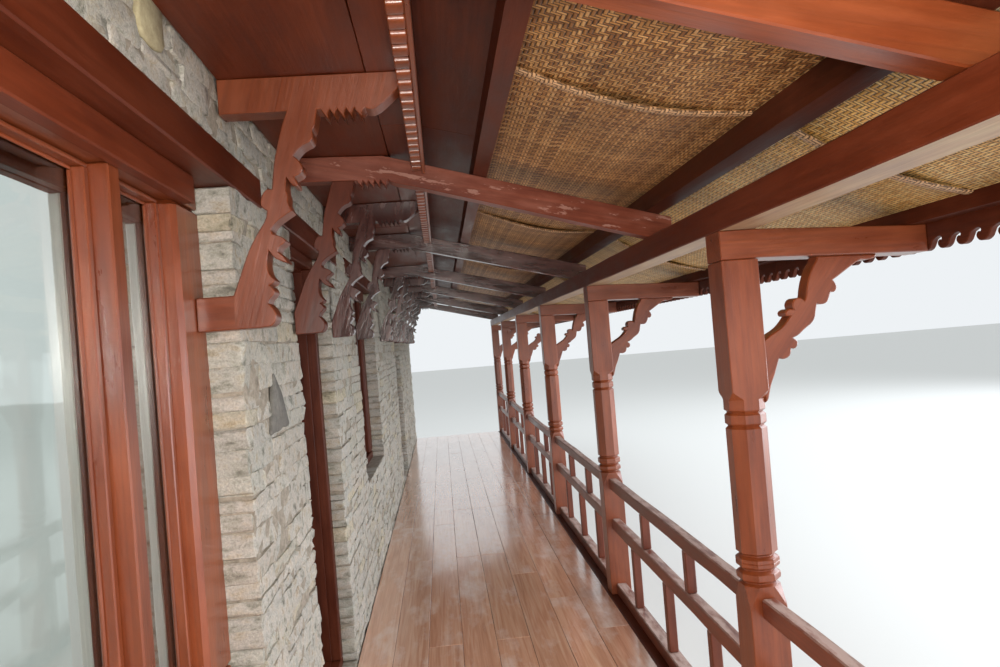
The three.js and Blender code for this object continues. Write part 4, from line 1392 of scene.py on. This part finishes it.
# The doubled edge of a mat: a flat roll of strips under its near end, turned a little to the eye
def addSelvedge(batch, y0, hang):
    wide, thick = matting["selvedge"]
    sections = []
    for x in np.linspace(matting["x0"] + 0.002, matting["x1"] - 0.002, matting["selvedgeSteps"]):
        z = float(matTop(x, y0, y0, hang)) - matting["thick"]
        flat = [
            (-0.006, -0.0005), (-0.008, -0.3 * thick), (-0.003, -0.75 * thick), (0.3 * wide, -thick)
        ]
        flat += [(0.75 * wide, -0.75 * thick), (wide, -0.0005)]
        sections.append([(x, y0 + a, z + b) for a, b in flat])
    sections = np.array(sections)
    addLoft(batch, sections, sections.reshape(-1, 3) * (1, 1, 0), slot=2)


mattingLength = (lastSupport - matting["x0"]) * math.hypot(1, setOut["roofSlope"])
mattingLength += math.hypot(matting["x1"] - lastSupport, purlinTop(lastSupport) - setOut["matEnd"])
for index, (y0, y1) in enumerate(zip(matSeams, matSeams[1:])):
    batch = newBatch()
    lap, hang = (matting["lap"], matting["hang"]) if index else (0, 0)
    addMat(batch, y0 - lap, y1 + (0 if y1 == galleryEnd else matting["underLap"]), hang)
    if index:
        addSelvedge(batch, y0 - lap, hang)
    used = ["innerMat", "outerMat", "selvedgeMat"]
    mat = finishPiece(
        f"ceiling_mat_{index + 1}", batch, used, ["woven_mats"], sharp=60
    )
    # Faces further out take the lighter outer straw as painted daylight
    middles = np.array([face.center.x for face in mat.data.polygons]) - toRow[0]
    slots = np.array(batch["slots"])
    slots = np.where((middles > matting["daylitFrom"]) & (slots == 0), 1, slots)
    mat.data.polygons.foreach_set("material_index", slots.tolist())
print("mats hung")

# Roof: battens, then lapped sheets of corrugated galvanised iron
roofing = {
    "overPurlin": 0.0098,
    "battens": (0.08, 0.62, 1.18, 1.74, 2.32),
    "battenWidth": 0.045,
    "battenDepth": 0.022,
    "pitch": 0.076,
    "wave": 0.0085,
    "pointsPerWave": 8,
    "sheetWidth": 0.76,
    "lap": 0.06,
    "lapLift": 0.0012,
    "thick": 0.0016,
    "overhang": 0.08,
    "rows": 9,
}


def battenFoot(x):
    return purlinTop(x) + roofing["overPurlin"]


def battenTop(x):
    return purlinTop(x) + roofing["overPurlin"] + roofing["battenDepth"]


roofStart, roofEnd = galleryStart - roofing["overhang"], galleryEnd + roofing["overhang"]
roof = newBatch()
for x in roofing["battens"]:
    addSlopedBar(roof, x, x + roofing["battenWidth"], battenFoot, battenTop, 0.002)
sheetCount = math.ceil((roofEnd - roofStart - roofing["lap"]) / roofing["sheetWidth"])
width = (roofEnd - roofStart - roofing["lap"]) / sheetCount
for sheet in range(sheetCount):
    y0 = roofStart + sheet * width
    y1 = y0 + width + roofing["lap"]
    y = np.append(np.arange(y0, y1 - 0.002, roofing["pitch"] / roofing["pointsPerWave"]), y1)
    lift = roofing["lapLift"] if sheet % 2 else 0
    wave = roofing["wave"] * np.cos(2 * np.pi * (y - roofStart) / roofing["pitch"])
    sections = []
    for x in np.linspace(0.002, setOut["eaveEdge"] - 0.001, roofing["rows"]):
        base = battenTop(x) + roofing["wave"] + 0.0004 + lift
        droop = random.normal(0, 0.0003, len(y))
        low = np.column_stack([np.full(len(y), x), y, base + wave + droop])
        sections.append(np.concatenate([low, (low + (0, 0, roofing["thick"]))[::-1]]))
    sections = np.array(sections)
    addLoft(roof, sections, grainAlong(sections, (1, 0, -0.25)), slot=1)
finishPiece("corrugated_roof", roof, ["dark", "zinc"], ["roof_covering"])

# Eave board: a running wave sawn along its lower edge, in mm
scallops = {
    "pitch": 90, "bottom": 1912, "perBoard": 19, "joint": 0.5, "front": 2.3005, "back": 2.3248
}
wavePoints = [
    (1, 0, 1), (9, -12), (18, -26), (36, -34), (56, -33), (68, -22), (68, -8), (58, -1),
    (50, -8, 1), (46, 4), (56, 10), (72, 8),
]
eaveBoard = newBatch()
count = math.floor(1000 * (galleryEnd - galleryStart) / scallops["pitch"])
spare = (1000 * (galleryEnd - galleryStart) - count * scallops["pitch"]) / 2
boardTop = 1000 * purlinTop(setOut["armEnd"] + 0.025) + 1000 * overPurlin
bottom = scallops["bottom"]
for start in range(0, count, scallops["perBoard"]):
    end = min(count, start + scallops["perBoard"])
    y0, y1 = 1000 * galleryStart, 1000 * galleryEnd
    if start:
        y0 += spare + start * scallops["pitch"] + scallops["joint"]
    if end < count:
        y1 = 1000 * galleryStart + spare + end * scallops["pitch"] - scallops["joint"]
    outline = [(y0, bottom, 1)]
    for scallop in range(start, end):
        base = 1000 * galleryStart + spare + scallop * scallops["pitch"]
        outline += [(base + point[0], bottom + point[1], *point[2:]) for point in wavePoints]
    outline += [(y1, bottom, 1), (y1, boardTop, 1), (y0, boardTop, 1)]
    addCut(
        eaveBoard, soften(outline), "yz", scallops["front"], scallops["back"], (0, 1, 0), edge=0.003
    )
finishPiece("scalloped_eave_board", eaveBoard, ["dark"], ["eave_fascia"])
print("roof on")

# Studio: pale floor and sky, a small soft box over the eye and broad ones beside and above
studio = {
    "paper": "d4d5d2", "roughness": 0.9, "sky": "eef2f5", "skyStrength": 1.0, "reach": 60,
    "drop": 0.001,
}
reach, drop = studio["reach"], studio["drop"]
stageMesh = bpy.data.meshes.new("studio_floor")
corners = [
    (x, y, -drop) for x, y in ((-reach, -reach), (reach, -reach), (reach, reach), (-reach, reach))
]
stageMesh.from_pydata(corners, [], [(0, 1, 2, 3)])
stageFinish = bpy.data.materials.new("matt_studio_paper")
stageFinish.use_nodes = True
paper = stageFinish.node_tree.nodes["Principled BSDF"].inputs
paper["Base Color"].default_value = toLinear(studio["paper"])
paper["Roughness"].default_value = studio["roughness"]
stageMesh.materials.append(stageFinish)
studioFloor = bpy.data.objects.new("studio_floor", stageMesh)
bpy.context.scene.collection.objects.link(studioFloor)
world = bpy.data.worlds.new("pale_studio")
world.use_nodes = True
sky = world.node_tree.nodes["Background"].inputs
sky["Color"].default_value = toLinear(studio["sky"])
sky["Strength"].default_value = studio["skyStrength"]
bpy.context.scene.world = world
overEye = Vector(camera["place"]) - 0.1 * imageDown - 0.05 * ahead
# Each lamp: place, what it is aimed at, size, power in watts, colour
lamps = {
    "over_eye": (overEye, overEye + ahead, (0.26, 0.26), 43, "fff6ec"),
    "open_side": ((14, 6.5, 6.6), (0.5, 6.5, 1.3), (20, 8), 1900, "f3f7ff"),
    "overhead": ((1, 6.5, 12), (1, 6.5, 0), (16, 8), 300, "ffffff"),
    "behind": ((1, -5, 2), (0.8, 3, 1.5), (5, 3), 125, "f7f7fa"),
    "valley_glow": ((7.5, 2, 1.6), (1.8, 3, 4.6), (6, 2.6), 310, "f1f5fb"),
}
for name, (place, aim, size, power, colour) in lamps.items():
    light = bpy.data.lights.new(name, "AREA")
    light.shape = "RECTANGLE"
    light.size, light.size_y = size
    light.energy = power
    light.color = toLinear(colour)[:3]
    lampObject = bpy.data.objects.new(name, light)
    lampObject.location = Vector(toRow) + Vector(place)
    lampObject.rotation_euler = (Vector(aim) - Vector(place)).to_track_quat("-Z", "Y").to_euler()
    bpy.context.scene.collection.objects.link(lampObject)
bpy.context.scene.view_settings.view_transform = "Standard"
print("lights set")
